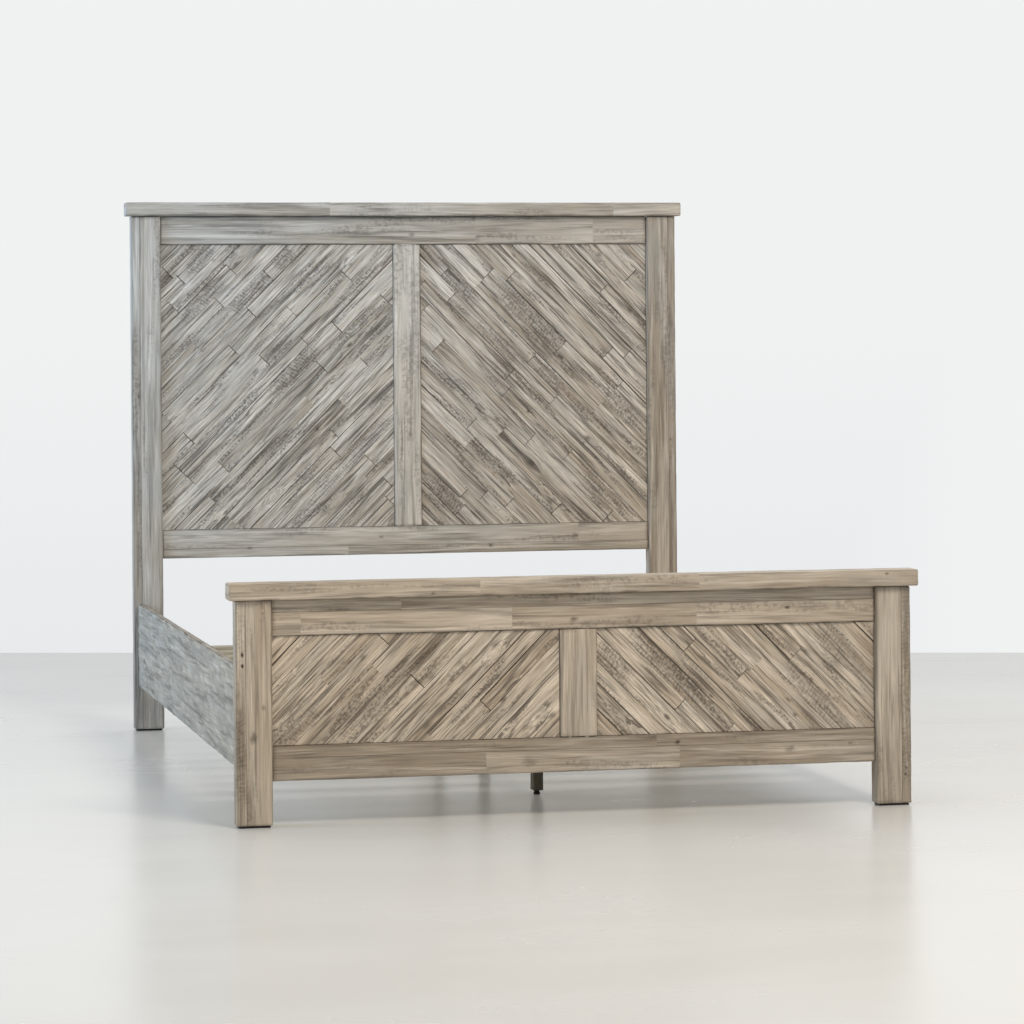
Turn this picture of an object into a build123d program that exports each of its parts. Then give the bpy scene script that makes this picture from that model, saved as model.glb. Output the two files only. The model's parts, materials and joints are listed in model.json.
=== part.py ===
from build123d import *

import os
import random
from dataclasses import dataclass

# Queen-size panel bed frame with chevron plank panels, in millimetres.
# X runs across the bed, Y from the foot to the head, and Z is up.
# The origin is on the floor, under the centre of the bed's overall box.

# ---- Overall ----------------------------------------------------------------
overall_width = 1651
overall_length = 2252
headboard_height = 1524
footboard_height = 562

# ---- Posts ------------------------------------------------------------------
post_width = 85
post_depth = 50
post_edge_strip = 24        # outer board of the two that make a post
glide_thickness = 4
glide_inset = 6
glue_line = 0.3             # gap between boards glued into one member

# ---- Caps, rails and stiles -------------------------------------------------
cap_thickness = 40
cap_depth = 67
cap_end_overhang = 17
head_cap_overhang = 13
foot_cap_overhang = 15
rail_thickness = 28
rail_recess = 14            # rails sit this far behind the posts' front faces
panel_groove_depth = 10
panel_groove_width = 6.4
panel_groove_lip = 16       # wood left in front of the groove

# ---- Chevron panels ---------------------------------------------------------
backing_thickness = 6
backing_inset = 9           # how far the backing enters its grooves
plank_width = 42
plank_width_spread = 0.16
plank_thickness = 10
plank_thickness_spread = 1.0
plank_gap = 0.9
shortest_first_plank = 0.3  # share of the shorter plank length, at a strip's start
shortest_last_plank = 0.33  # the same, at its end
panel_clearance = 1.0
smallest_plank = 1500       # volume under which an offcut isn't fitted, mm3
chevron_angle = 45

# ---- Side rails and ledgers -------------------------------------------------
side_rail_bottom = 129
side_rail_top = 365
side_rail_inset = 10        # from the posts' outer faces
face_board_thickness = 8
core_board_thickness = 12
ledger_width = 28
ledger_height = 30
ledger_end_gap = 12

# ---- Slats, centre beam and legs --------------------------------------------
slat_count = 13
slat_width = 70
slat_thickness = 19
slat_top = 245
slat_end_clearance = 6
slat_end_margin = 42        # from the posts to the first slat
beam_width = 25
beam_height = 60
beam_end_gap = 20
leg_width = 25
leg_depth = 38
leg_bottom = 10
leg_top_gap = 2
leg_names = ("front", "middle", "rear")
leg_from_foot = 451         # first leg, behind the footboard posts' front faces
leg_left_face = -19         # the legs are bolted to the beam's left face

# ---- Hardware ---------------------------------------------------------------
fit_gap = 0.05              # radial play of every pin, screw and bolt
dowel_radius = 5
dowel_length = 60
cap_dowel_length = 40
cap_dowel_spacing = 400
post_dowel_inset = 46       # from a post's inner face, past the rail dowels
dowel_relief = 1
dowel_spread = 22           # from a rail's centre line to each dowel
stile_dowel_spread = 20
bracket_thickness = 4
bracket_height = 80
bracket_bottom = 252
bracket_rail_leg = 60
bracket_post_leg = 44
bolt_radius = 4
bolt_head_radius = 7.5
bolt_head_height = 5.3
bolt_reach = 18             # into the post's threaded insert
bolt_from_rail = 26
bolt_spread = 24
insert_radius = 6
insert_length = 20
leg_bolt_radius = 3
leg_bolt_head_radius = 7
leg_bolt_head_height = 3.5
leg_bolt_spread = 15
leg_nut_radius = 5.8
leg_nut_height = 5
nut_flange_radius = 8.5
nut_flange_thickness = 1.5
leg_bolt_tip = 2            # bolt left standing beyond its nut
foot_radius = 8
foot_height = 6
foot_collar_radius = 6.8
foot_collar_height = 3
foot_chamfer = 1.5
stud_length = 35
stud_clearance = 0.5        # radial room around the stud above its insert
stud_room = 44              # depth of the hole for the stud
nail_radius = 1.5
nail_length = 16            # above the glide
nail_spread = 22
wood_screw_radius = 2
flat_head_radius = 4
flat_head_height = 2.5
pan_head_radius = 3.8
pan_head_height = 2.2
ledger_screw_count = 8      # in each ledger
ledger_screw_margin = 60    # from the ends of the side rail
ledger_screw_length = 38
slat_screw_length = 34
bracket_screw_length = 14
bracket_screw_margin = 16   # from the post to the nearer pair of screws
bracket_screw_spread = 26

# ---- Worked out from the above ----------------------------------------------
post_outer = overall_width / 2 - cap_end_overhang
post_inner = post_outer - post_width
foot_front = -overall_length / 2 + foot_cap_overhang
head_front = overall_length / 2 + head_cap_overhang - cap_depth
foot_back = foot_front + post_depth
rail_outer = post_outer - side_rail_inset
core_outer = rail_outer - face_board_thickness - glue_line
rail_inner = core_outer - core_board_thickness
slat_bottom = slat_top - slat_thickness
beam_left = leg_left_face + leg_width
beam_bottom = slat_bottom - beam_height
leg_positions = [foot_front + leg_from_foot,
                 (foot_front + head_front) / 2,
                 head_front - leg_from_foot]


@dataclass
class EndBoard:
    """A headboard or footboard. Its boards are given as rows from the top down,
    each row with its height and the X of the end joints in it."""
    name: str
    post_front: float
    height: float
    cap_overhang: float
    top_rail_bottom: float
    bottom_rail_top: float
    bottom_rail_bottom: float
    stile_width: float
    cap_rows: tuple
    top_rail_rows: tuple
    bottom_rail_rows: tuple
    plank_lengths: tuple
    seed: int

    @property
    def cap_bottom(self):
        return self.height - cap_thickness

    @property
    def dowel_y(self):
        return self.post_front + rail_recess + panel_groove_lip / 2

    @property
    def groove_front(self):
        return self.post_front + rail_recess + panel_groove_lip


headboard = EndBoard(
    name="headboard", post_front=head_front, height=headboard_height,
    cap_overhang=head_cap_overhang, top_rail_bottom=1402,
    bottom_rail_top=576, bottom_rail_bottom=494, stile_width=81,
    cap_rows=((cap_thickness, (-231, 618)),),
    top_rail_rows=((82, (206, 561)),),
    bottom_rail_rows=((54, (510,)), (28, (-180,))),
    plank_lengths=(260, 620), seed=11)

footboard = EndBoard(
    name="footboard", post_front=foot_front, height=footboard_height,
    cap_overhang=foot_cap_overhang, top_rail_bottom=438,
    bottom_rail_top=185, bottom_rail_bottom=104, stile_width=89,
    cap_rows=((cap_thickness, (-239, 286)),),
    top_rail_rows=((30, (-420, 95)), (54, (-655, -158, 286))),
    bottom_rail_rows=((28, (187,)), (53, (-222, 242))),
    plank_lengths=(520, 800), seed=23)

ends = (headboard, footboard)


# ---- Shapes -----------------------------------------------------------------
def block(x_span, y_span, z_span):
    """A box between the given limits."""
    low = [min(span) for span in (x_span, y_span, z_span)]
    size = [max(span) - min(span) for span in (x_span, y_span, z_span)]
    centre = [lowest + length / 2 for lowest, length in zip(low, size)]
    return Pos(*centre) * Box(*size)


def rod(start, direction, length, radius):
    """A round bar from a point, along X, Y or Z or against it."""
    plane = Plane(origin=start, z_dir=direction)
    bar = Cylinder(radius, length, align=(Align.CENTER, Align.CENTER, Align.MIN))
    return plane * bar


def hexagon_bar(start, direction, length, radius):
    """A hexagonal bar, for bolt heads and nuts."""
    plane = Plane(origin=start, z_dir=direction)
    return extrude(plane * RegularPolygon(radius, 6), length)


def countersunk_screw(start, direction, length, play=0.0):
    """A wood screw with its flat head's face at the start point."""
    radius = wood_screw_radius + play
    plane = Plane(origin=start, z_dir=direction)
    head = plane * Cone(flat_head_radius + play, radius, flat_head_height,
                        align=(Align.CENTER, Align.CENTER, Align.MIN))
    return head + rod(start, direction, length + play, radius)


def pan_head_screw(start, direction, length, play=0.0):
    """A wood screw whose round head stands on the surface at the start point."""
    back = tuple(-part for part in direction)
    head = rod(start, back, pan_head_height, pan_head_radius)
    return head + rod(start, direction, length + play, wood_screw_radius + play)


def without(shapes, tools):
    """Every shape with the tools that reach it taken away."""
    tool_boxes = [(tool, tool.bounding_box()) for tool in tools]
    cut_shapes = []
    for shape in shapes:
        box = shape.bounding_box()
        near = [tool for tool, reach in tool_boxes if box.overlaps(reach)]
        cut_shapes.append(shape - near if near else shape)
    return cut_shapes


def save(name, shapes):
    """Writes one sub-part as a group of its solids."""
    solids = [solid for shape in shapes for solid in shape.solids()]
    group = Compound(children=solids)
    group.label = name
    export_step(group, f"parts/{name}.step")


def staves(x_span, y_span, top, rows):
    """A board glued up from rows of end-jointed staves, with thin glue lines."""
    boards = []
    half = glue_line / 2
    for index, (height, joints) in enumerate(rows):
        stops = [x_span[0], *joints, x_span[1]]
        high = top - (half if index else 0)
        low = top - height + (half if index < len(rows) - 1 else 0)
        for left, right in zip(stops, stops[1:]):
            left_gap = half if left != x_span[0] else 0
            right_gap = half if right != x_span[1] else 0
            boards.append(block((left + left_gap, right - right_gap), y_span, (low, high)))
        top -= height
    return boards


# ---- Joinery of a headboard or footboard ------------------------------------
def rail_dowels(end, play=0.0):
    """Dowels that join both rails to both posts."""
    length = dowel_length + (2 * dowel_relief if play else 0)
    dowels = []
    for low, high in ((end.bottom_rail_bottom, end.bottom_rail_top),
                      (end.top_rail_bottom, end.cap_bottom)):
        for side in (-1, 1):
            for offset in (-dowel_spread, dowel_spread):
                start = (side * post_inner - length / 2, end.dowel_y, (low + high) / 2 + offset)
                dowels.append(rod(start, (1, 0, 0), length, dowel_radius + play))
    return dowels


def stile_dowels(end, play=0.0):
    """Dowels that join the centre stile to the rails above and below it."""
    length = dowel_length + (2 * dowel_relief if play else 0)
    return [rod((x, end.dowel_y, z - length / 2), (0, 0, 1), length, dowel_radius + play)
            for z in (end.bottom_rail_top, end.top_rail_bottom)
            for x in (-stile_dowel_spread, stile_dowel_spread)]


def cap_dowels(end, play=0.0):
    """Short dowels that hold the cap down on the posts and the top rail."""
    length = cap_dowel_length + (2 * dowel_relief if play else 0)
    in_post = post_inner + post_dowel_inset
    places = (-in_post, -cap_dowel_spacing, 0, cap_dowel_spacing, in_post)
    return [rod((x, end.dowel_y, end.cap_bottom - length / 2), (0, 0, 1), length,
                dowel_radius + play) for x in places]


def panel_grooves(end):
    """Slots in the posts, rails and stile that take the backing panels."""
    y_span = (end.groove_front, end.groove_front + panel_groove_width)
    high = end.top_rail_bottom + panel_groove_depth
    low = end.bottom_rail_top - panel_groove_depth
    far = post_inner + panel_groove_depth
    near = end.stile_width / 2 - panel_groove_depth
    return [block((side * near, side * far), y_span, (low, high)) for side in (-1, 1)]


def bracket_bolt_starts(end):
    """Where each rail bolt passes the face of its post, with its direction."""
    if end is headboard:
        face, inward = end.post_front, 1
    else:
        face, inward = end.post_front + post_depth, -1
    middle = bracket_bottom + bracket_height / 2
    return [((side * (rail_inner - bolt_from_rail), face, middle + offset), (0, inward, 0))
            for side in (-1, 1) for offset in (-bolt_spread, bolt_spread)]


def insert_holes(end):
    """Blind holes in the posts for the rail bolts' threaded inserts."""
    return [rod(start, direction, insert_length + dowel_relief, insert_radius + fit_gap)
            for start, direction in bracket_bolt_starts(end)]


def glide_nails(end, side, play=0.0):
    """The two nails that are moulded into the glide under one post."""
    middle = side * (post_outer - post_width / 2)
    return [rod((middle + offset, end.post_front + post_depth / 2, glide_thickness / 2),
                (0, 0, 1), glide_thickness / 2 + nail_length + play, nail_radius + play)
            for offset in (-nail_spread, nail_spread)]


# ---- Pieces of a headboard or footboard -------------------------------------
def post(end, side):
    """A post glued up from a wide inner board and a narrow edge strip."""
    y_span = (end.post_front, end.post_front + post_depth)
    z_span = (glide_thickness, end.cap_bottom)
    seam = post_outer - post_edge_strip
    boards = [block((side * post_inner, side * (seam - glue_line / 2)), y_span, z_span),
              block((side * (seam + glue_line / 2), side * post_outer), y_span, z_span)]
    tools = (rail_dowels(end, fit_gap) + cap_dowels(end, fit_gap) + panel_grooves(end)
             + insert_holes(end) + glide_nails(end, side, fit_gap))
    return without(boards, tools)


def cap(end):
    """The moulding board along the top, jointed from shorter boards."""
    y_front = end.post_front - end.cap_overhang
    half = overall_width / 2
    boards = staves((-half, half), (y_front, y_front + cap_depth), end.height, end.cap_rows)
    return without(boards, cap_dowels(end, fit_gap))


def rail(end, top, rows):
    """A horizontal rail between the posts."""
    y_front = end.post_front + rail_recess
    boards = staves((-post_inner, post_inner), (y_front, y_front + rail_thickness), top, rows)
    tools = (rail_dowels(end, fit_gap) + stile_dowels(end, fit_gap)
             + cap_dowels(end, fit_gap) + panel_grooves(end))
    return without(boards, tools)


def stile(end):
    """The upright between the two chevron panels."""
    half = end.stile_width / 2
    y_front = end.post_front + rail_recess
    board = block((-half, half), (y_front, y_front + rail_thickness),
                  (end.bottom_rail_top, end.top_rail_bottom))
    return without([board], stile_dowels(end, fit_gap) + panel_grooves(end))


def backing(end, side):
    """The plywood sheet behind the planks, held in the grooves all round."""
    y_front = end.groove_front + (panel_groove_width - backing_thickness) / 2
    x_span = (side * (end.stile_width / 2 - backing_inset), side * (post_inner + backing_inset))
    z_span = (end.bottom_rail_top - backing_inset, end.top_rail_bottom + backing_inset)
    return [block(x_span, (y_front, y_front + backing_thickness), z_span)]


def plank_widths(reach, dice):
    """Uneven plank widths that fill the panel's diagonal reach."""
    count = round(reach / plank_width)
    shares = [1 + dice.uniform(-plank_width_spread, plank_width_spread) for _ in range(count)]
    return [share * reach / sum(shares) for share in shares]


def plank_stops(reach, lengths, dice):
    """Where the butt joints fall along one diagonal strip."""
    stops = [-reach / 2]
    place = -reach / 2 + dice.uniform(shortest_first_plank, 1) * lengths[0]
    while place < reach / 2 - shortest_last_plank * lengths[0]:
        stops.append(place)
        place += dice.uniform(*lengths)
    return stops + [reach / 2]


def planks(end, side):
    """The chevron planks of one panel. They rise towards the centre stile."""
    dice = random.Random(end.seed + side)
    x_low = end.stile_width / 2 + panel_clearance
    x_high = post_inner - panel_clearance
    z_low = end.bottom_rail_top + panel_clearance
    z_high = end.top_rail_bottom - panel_clearance
    back = end.groove_front + (panel_groove_width - backing_thickness) / 2
    opening = block((side * x_low, side * x_high), (back, back - 2 * plank_thickness),
                    (z_low, z_high))
    centre = Pos(side * (x_low + x_high) / 2, back, (z_low + z_high) / 2)
    lean = Rot(0, side * chevron_angle, 0)
    reach = (x_high - x_low + z_high - z_low) / 2 ** 0.5
    fitted = []
    across = -reach / 2
    for width in plank_widths(reach, dice):
        stops = plank_stops(reach, end.plank_lengths, dice)
        for start, stop in zip(stops, stops[1:]):
            thickness = plank_thickness + dice.uniform(-1, 1) * plank_thickness_spread
            plank = centre * lean * block((start + plank_gap / 2, stop - plank_gap / 2),
                                          (-thickness, 0),
                                          (across + plank_gap / 2,
                                           across + width - plank_gap / 2))
            trimmed = plank & opening
            fitted += [solid for solid in trimmed.solids() if solid.volume > smallest_plank]
        across += width
    return fitted


# ---- Side rails, ledgers, slats and centre support --------------------------
def ledger_screws(side, play=0.0):
    """Screws that fix a ledger to its side rail."""
    first = foot_back + ledger_screw_margin
    step = (head_front - ledger_screw_margin - first) / (ledger_screw_count - 1)
    x = side * (rail_inner - ledger_width)
    z = slat_bottom - ledger_height / 2
    return [countersunk_screw((x, first + index * step, z), (side, 0, 0),
                              ledger_screw_length, play)
            for index in range(ledger_screw_count)]


def bracket_screws(side, face, inward, play=0.0):
    """The screws of one corner bracket, into the side rail."""
    middle = bracket_bottom + bracket_height / 2
    x = side * (rail_inner - bracket_thickness)
    far = bracket_rail_leg - bracket_screw_margin / 2
    return [pan_head_screw((x, face + inward * reach, middle + offset), (side, 0, 0),
                           bracket_screw_length, play)
            for reach in (bracket_screw_margin, far)
            for offset in (-bracket_screw_spread, bracket_screw_spread)]


corners = [(side, face, inward) for side in (-1, 1)
           for face, inward in ((foot_back, 1), (head_front, -1))]


def rail_screw_holes(side):
    """Every screw hole in one side rail."""
    holes = ledger_screws(side, fit_gap)
    for corner_side, face, inward in corners:
        if corner_side == side:
            holes += bracket_screws(side, face, inward, fit_gap)
    return holes


def side_rail(side):
    """The straight inner board that carries the load."""
    board = block((side * rail_inner, side * core_outer), (foot_back, head_front),
                  (side_rail_bottom, side_rail_top))
    return without([board], rail_screw_holes(side))


def side_rail_face(side):
    """The rough-hewn board glued to the outside of a side rail."""
    return [block((side * (core_outer + glue_line), side * rail_outer), (foot_back, head_front),
                  (side_rail_bottom, side_rail_top))]


def slat_spans():
    """The Y limits of every slat."""
    first = foot_back + slat_end_margin
    step = (head_front - slat_end_margin - slat_width - first) / (slat_count - 1)
    return [(first + index * step, first + index * step + slat_width)
            for index in range(slat_count)]


def slat_screws(y_span, play=0.0):
    """Three screws through one slat, into the ledgers and the beam."""
    ledger_middle = rail_inner - ledger_width / 2
    beam_middle = beam_left + beam_width / 2
    y = sum(y_span) / 2
    return [countersunk_screw((x, y, slat_top), (0, 0, -1), slat_screw_length, play)
            for x in (-ledger_middle, beam_middle, ledger_middle)]


def all_slat_screws(play=0.0):
    return [screw for span in slat_spans() for screw in slat_screws(span, play)]


def ledger(side):
    """The strip along the inside of a side rail that the slats rest on."""
    strip = block((side * (rail_inner - ledger_width), side * rail_inner),
                  (foot_back + ledger_end_gap, head_front - ledger_end_gap),
                  (slat_bottom - ledger_height, slat_bottom))
    return without([strip], ledger_screws(side, fit_gap) + all_slat_screws(fit_gap))


def slat(y_span):
    half = rail_inner - slat_end_clearance
    board = block((-half, half), y_span, (slat_bottom, slat_top))
    return without([board], slat_screws(y_span, fit_gap))


def leg_bolts(play=0.0):
    """Round-headed bolts that hold the legs against the beam."""
    length = leg_width + beam_width + nut_flange_thickness + leg_nut_height + leg_bolt_tip
    bolts = []
    for y in leg_positions:
        for offset in (-leg_bolt_spread, leg_bolt_spread):
            start = (leg_left_face, y, slat_bottom - beam_height / 2 + offset)
            bolt = rod(start, (1, 0, 0), length, leg_bolt_radius + play)
            if not play:
                bolt += rod(start, (-1, 0, 0), leg_bolt_head_height, leg_bolt_head_radius)
            bolts.append(bolt)
    return bolts


def leg_nuts():
    """A flange nut on every leg bolt."""
    nuts = []
    face = beam_left + beam_width
    for y in leg_positions:
        for offset in (-leg_bolt_spread, leg_bolt_spread):
            z = slat_bottom - beam_height / 2 + offset
            flange = rod((face, y, z), (1, 0, 0), nut_flange_thickness, nut_flange_radius)
            nuts.append(flange + hexagon_bar((face + nut_flange_thickness, y, z), (1, 0, 0),
                                             leg_nut_height, leg_nut_radius))
    return without(nuts, leg_bolts(fit_gap))


def centre_beam():
    """The beam under the slats, a little to the right of the middle."""
    board = block((beam_left, beam_left + beam_width),
                  (foot_back + beam_end_gap, head_front - beam_end_gap),
                  (beam_bottom, slat_bottom))
    return without([board], all_slat_screws(fit_gap) + leg_bolts(fit_gap))


def leg_axis(y):
    return leg_left_face + leg_width / 2, y


def centre_leg(y):
    """A square leg, bored from below for its insert and its leveller's stud."""
    board = block((leg_left_face, leg_left_face + leg_width),
                  (y - leg_depth / 2, y + leg_depth / 2), (leg_bottom, slat_bottom - leg_top_gap))
    start = (*leg_axis(y), leg_bottom)
    holes = [rod(start, (0, 0, 1), insert_length, insert_radius + fit_gap),
             rod(start, (0, 0, 1), stud_room, bolt_radius + stud_clearance)]
    return without([board], holes + leg_bolts(fit_gap))


def leveller_stud(y):
    """The threaded stud that turns in the leg's insert."""
    start = foot_height / 2
    return [rod((*leg_axis(y), start), (0, 0, 1),
                stud_length + foot_height / 2 + foot_collar_height, bolt_radius)]


def leveller_foot(y):
    """The moulded foot, with a hexagonal collar for a spanner."""
    base = rod((*leg_axis(y), 0), (0, 0, 1), foot_height, foot_radius)
    base = chamfer(base.edges().group_by(Axis.Z)[-1], foot_chamfer)
    collar = hexagon_bar((*leg_axis(y), foot_height), (0, 0, 1),
                         foot_collar_height, foot_collar_radius)
    return without([base + collar], leveller_stud(y))


# ---- Metal fittings and glides ----------------------------------------------
def corner_bracket(side, face, inward):
    """A steel angle that joins a side rail to a post."""
    z_span = (bracket_bottom, bracket_bottom + bracket_height)
    rail_leg = block((side * rail_inner, side * (rail_inner - bracket_thickness)),
                     (face, face + inward * bracket_rail_leg), z_span)
    post_leg = block((side * rail_inner, side * (rail_inner - bracket_post_leg)),
                     (face, face + inward * bracket_thickness), z_span)
    holes = bracket_screws(side, face, inward, fit_gap)
    reach = 2 * bracket_thickness
    holes += [rod((x, y - direction[1] * reach, z), direction, 2 * reach, bolt_radius + fit_gap)
              for end in ends for (x, y, z), direction in bracket_bolt_starts(end)]
    return without([rail_leg + post_leg], holes)


def bracket_bolts():
    """Hexagon-head bolts through the brackets into the posts."""
    bolts = []
    for end in ends:
        for (x, y, z), direction in bracket_bolt_starts(end):
            start = (x, y - direction[1] * bracket_thickness, z)
            back = (0, -direction[1], 0)
            bolts.append(rod(start, direction, bolt_reach + bracket_thickness, bolt_radius)
                         + hexagon_bar(start, back, bolt_head_height, bolt_head_radius))
    return bolts


def threaded_inserts():
    """Threaded sleeves, eight in the posts and one in each centre leg."""
    places = [place for end in ends for place in bracket_bolt_starts(end)]
    places += [((*leg_axis(y), leg_bottom), (0, 0, 1)) for y in leg_positions]
    return [rod(start, direction, insert_length, insert_radius)
            - rod(start, direction, insert_length, bolt_radius + fit_gap)
            for start, direction in places]


def post_glides():
    """Nail-on glides that keep the posts' end grain off the floor."""
    glides = []
    for end in ends:
        for side in (-1, 1):
            x_span = (side * (post_inner + glide_inset), side * (post_outer - glide_inset))
            y_span = (end.post_front + glide_inset, end.post_front + post_depth - glide_inset)
            glides.append(block(x_span, y_span, (0, glide_thickness))
                          + glide_nails(end, side))
    return glides


# ---- Writing the sub-parts --------------------------------------------------
def write_end(end):
    for side, word in ((-1, "left"), (1, "right")):
        save(f"{end.name}_post_{word}", post(end, side))
        save(f"{end.name}_planks_{word}", planks(end, side))
        save(f"{end.name}_backing_{word}", backing(end, side))
    save(f"{end.name}_top_cap", cap(end))
    save(f"{end.name}_top_rail", rail(end, end.cap_bottom, end.top_rail_rows))
    save(f"{end.name}_bottom_rail", rail(end, end.bottom_rail_top, end.bottom_rail_rows))
    save(f"{end.name}_centre_stile", stile(end))


def write_side_rails():
    for side, word in ((-1, "left"), (1, "right")):
        save(f"side_rail_{word}", side_rail(side))
        save(f"side_rail_face_{word}", side_rail_face(side))
        save(f"slat_ledger_{word}", ledger(side))


def write_support():
    for number, span in enumerate(slat_spans(), 1):
        save(f"slat_{number:02d}", slat(span))
    save("centre_beam", centre_beam())
    for name, y in zip(leg_names, leg_positions):
        save(f"centre_leg_{name}", centre_leg(y))
        save(f"leveller_stud_{name}", leveller_stud(y))
        save(f"leveller_foot_{name}", leveller_foot(y))


def write_hardware():
    save("rail_dowels", [pin for end in ends for pin in rail_dowels(end) + stile_dowels(end)])
    save("cap_dowels", [pin for end in ends for pin in cap_dowels(end)])
    save("corner_brackets", [plate for corner in corners for plate in corner_bracket(*corner)])
    save("bracket_bolts", bracket_bolts())
    save("bracket_screws", [screw for corner in corners for screw in bracket_screws(*corner)])
    save("threaded_inserts", threaded_inserts())
    save("ledger_screws", ledger_screws(-1) + ledger_screws(1))
    save("slat_screws", all_slat_screws())
    save("leg_bolts", leg_bolts())
    save("leg_nuts", leg_nuts())
    save("post_glides", post_glides())


os.makedirs("parts", exist_ok=True)
for end_board in ends:
    write_end(end_board)
write_side_rails()
write_support()
write_hardware()
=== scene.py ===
"""Queen-size bed frame in weathered wood, with chevron plank panels, on a studio floor."""

import json
import math
import random
from dataclasses import dataclass, replace

import bpy
import numpy as np
from bpy.props import FloatProperty, FloatVectorProperty, PointerProperty
from mathutils import Matrix, Vector, noise


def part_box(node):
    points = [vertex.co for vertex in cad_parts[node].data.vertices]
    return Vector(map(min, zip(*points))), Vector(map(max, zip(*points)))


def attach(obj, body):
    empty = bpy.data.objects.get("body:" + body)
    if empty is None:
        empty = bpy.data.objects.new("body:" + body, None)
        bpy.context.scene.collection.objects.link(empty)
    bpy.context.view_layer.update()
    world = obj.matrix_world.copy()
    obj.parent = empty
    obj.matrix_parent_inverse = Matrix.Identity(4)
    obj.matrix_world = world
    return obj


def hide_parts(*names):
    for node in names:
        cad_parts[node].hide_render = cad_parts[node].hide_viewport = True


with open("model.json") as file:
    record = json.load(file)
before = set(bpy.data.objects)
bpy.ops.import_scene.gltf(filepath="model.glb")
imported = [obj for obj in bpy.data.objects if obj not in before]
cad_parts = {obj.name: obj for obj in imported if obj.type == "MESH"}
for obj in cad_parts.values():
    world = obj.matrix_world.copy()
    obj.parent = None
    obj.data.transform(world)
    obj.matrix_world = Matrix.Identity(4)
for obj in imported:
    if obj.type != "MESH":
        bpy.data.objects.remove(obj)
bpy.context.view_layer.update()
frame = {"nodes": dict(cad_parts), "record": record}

bl_info = {
    "name": "Chevron Bed Frame",
    "version": (1, 0, 0),
    "blender": (4, 5, 0),
    "location": "3D View > Sidebar > Bed",
    "description": "Builds a weathered bed frame with chevron plank panels",
    "category": "Object",
}

BED_BODY = "bed_frame"
MERGE_DISTANCE = 1e-5
MOST_CUTS = 100                 # the most that one subdivide takes
FINE_CELLS = (0.0035, 0.0028)   # mesh of the boards with holes and knots, along and across
SMOOTH_ANGLE = math.radians(42)
SEED_STEP = 7.31                # how far apart in the noise two seeds are
KNOT_LENGTH = 1.5               # of a knot's or hole's width
CHIP_REACH = 0.006              # how far from an edge it is chipped
HEWING_SLANT = 0.13             # how far the adze's scoops stray from the grain
JOINT_FADE = 0.005              # how far from a joint two boards' surfaces are level
PAINTED_EDGE_SHADE_WIDTH = 0.0035              # width of the painted shade line along a board's edges
DARKER_NEAR_FLOOR_UP_TO = 0.80             # height to which the frame darkens towards the floor
STRIP_GAP = 0.0006              # between a post's edge strip and its wide board
END_GAP = 0.0008                # at the ends of posts, rails and stiles
FOOTBOARD_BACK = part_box("footboard_post_left")[1].y    # where the side rails start
OFFCUT = 0.0190                 # length of the corner offcuts that the planks cover
SMALLEST_BOARD = 0.4            # share of its member's width under which a board is a strip
SPLIT_WIDTH = 0.09              # how near to 0 the noise is in a split
SIDES = [(axis, high) for axis in (0, 1, 2) for high in (False, True)]

RIGHT, BACK, UP = Vector((1, 0, 0)), Vector((0, 1, 0)), Vector((0, 0, 1))
# Each lay is a board's grain direction and the direction across it. Its face looks
# along the first crossed with the second.
UPRIGHT = (UP, -RIGHT)
LEVEL = (RIGHT, UP)
LEFT_RAIL = (BACK, -UP)
RIGHT_RAIL = (BACK, UP)
LONG_FLAT = (BACK, -RIGHT)
CROSS_FLAT = (RIGHT, BACK)
RISING_RIGHT = ((RIGHT + UP).normalized(), (UP - RIGHT).normalized())
RISING_LEFT = ((UP - RIGHT).normalized(), (-RIGHT - UP).normalized())

# Rough-sawn patches on the boards: X, Z, half length along the plank, and strength.
SAWN_PATCHES = {
    "headboard_planks_left": (
        (-0.620, 1.368, 0.06, 0.8), (-0.610, 1.245, 0.09, 0.8), (-0.470, 1.280, 0.11, 0.9),
        (-0.350, 1.352, 0.04, 0.9), (-0.152, 1.287, 0.10, 0.7), (-0.325, 1.025, 0.10, 1.0),
        (-0.174, 0.790, 0.20, 0.5), (-0.420, 1.150, 0.08, 0.4)),
    "headboard_planks_right": (
        (0.145, 1.312, 0.11, 0.9), (0.430, 1.162, 0.22, 1.0), (0.280, 1.112, 0.11, 0.6),
        (0.430, 1.010, 0.07, 0.8), (0.660, 0.915, 0.07, 0.8), (0.107, 0.645, 0.09, 1.0),
        (0.617, 0.670, 0.13, 0.6)),
    "footboard_planks_left": (
        (-0.660, 0.225, 0.08, 0.6), (-0.540, 0.220, 0.06, 0.5)),
    "footboard_planks_right": (
        (0.205, 0.330, 0.13, 0.9), (0.280, 0.332, 0.06, 0.5), (0.085, 0.360, 0.06, 0.9),
        (0.640, 0.372, 0.09, 0.6), (0.567, 0.267, 0.11, 0.6)),
    "footboard_post_left": ((-0.795, 0.160, 0.11, 0.6), (-0.795, 0.450, 0.07, 0.3)),
    "footboard_post_right": ((0.795, 0.400, 0.12, 0.4), (0.795, 0.130, 0.08, 0.5)),
}

# How much paler or darker than the rest some of the frame's members are.
TONES = {"headboard_centre_stile": 4.0, "headboard_bottom_rail": 1.8,
         "footboard_centre_stile": 0.9, "footboard_top_rail": 1.8,
         "footboard_post_left": 1.0, "footboard_post_right": 0.6,
         "side_rail_left": -3.5, "side_rail_right": -3.5}

# How grey the finish is, with painted cool light from the left mixed in, in the middle of the bed
# at the grey height, and what each metre to the right, to the back and up adds to that.
FOOTBOARD_GREY_AND_COOL_LIGHT = (0.06, 0.10, 0.0, 0.0)
HEADBOARD_GREY_AND_COOL_LIGHT = (0.36, -0.45, 0.22, 0.35)
GREY_AND_COOL_LIGHT_HEIGHT = 0.9
MOST_GREY_AND_COOL_LIGHT = 1.1

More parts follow.
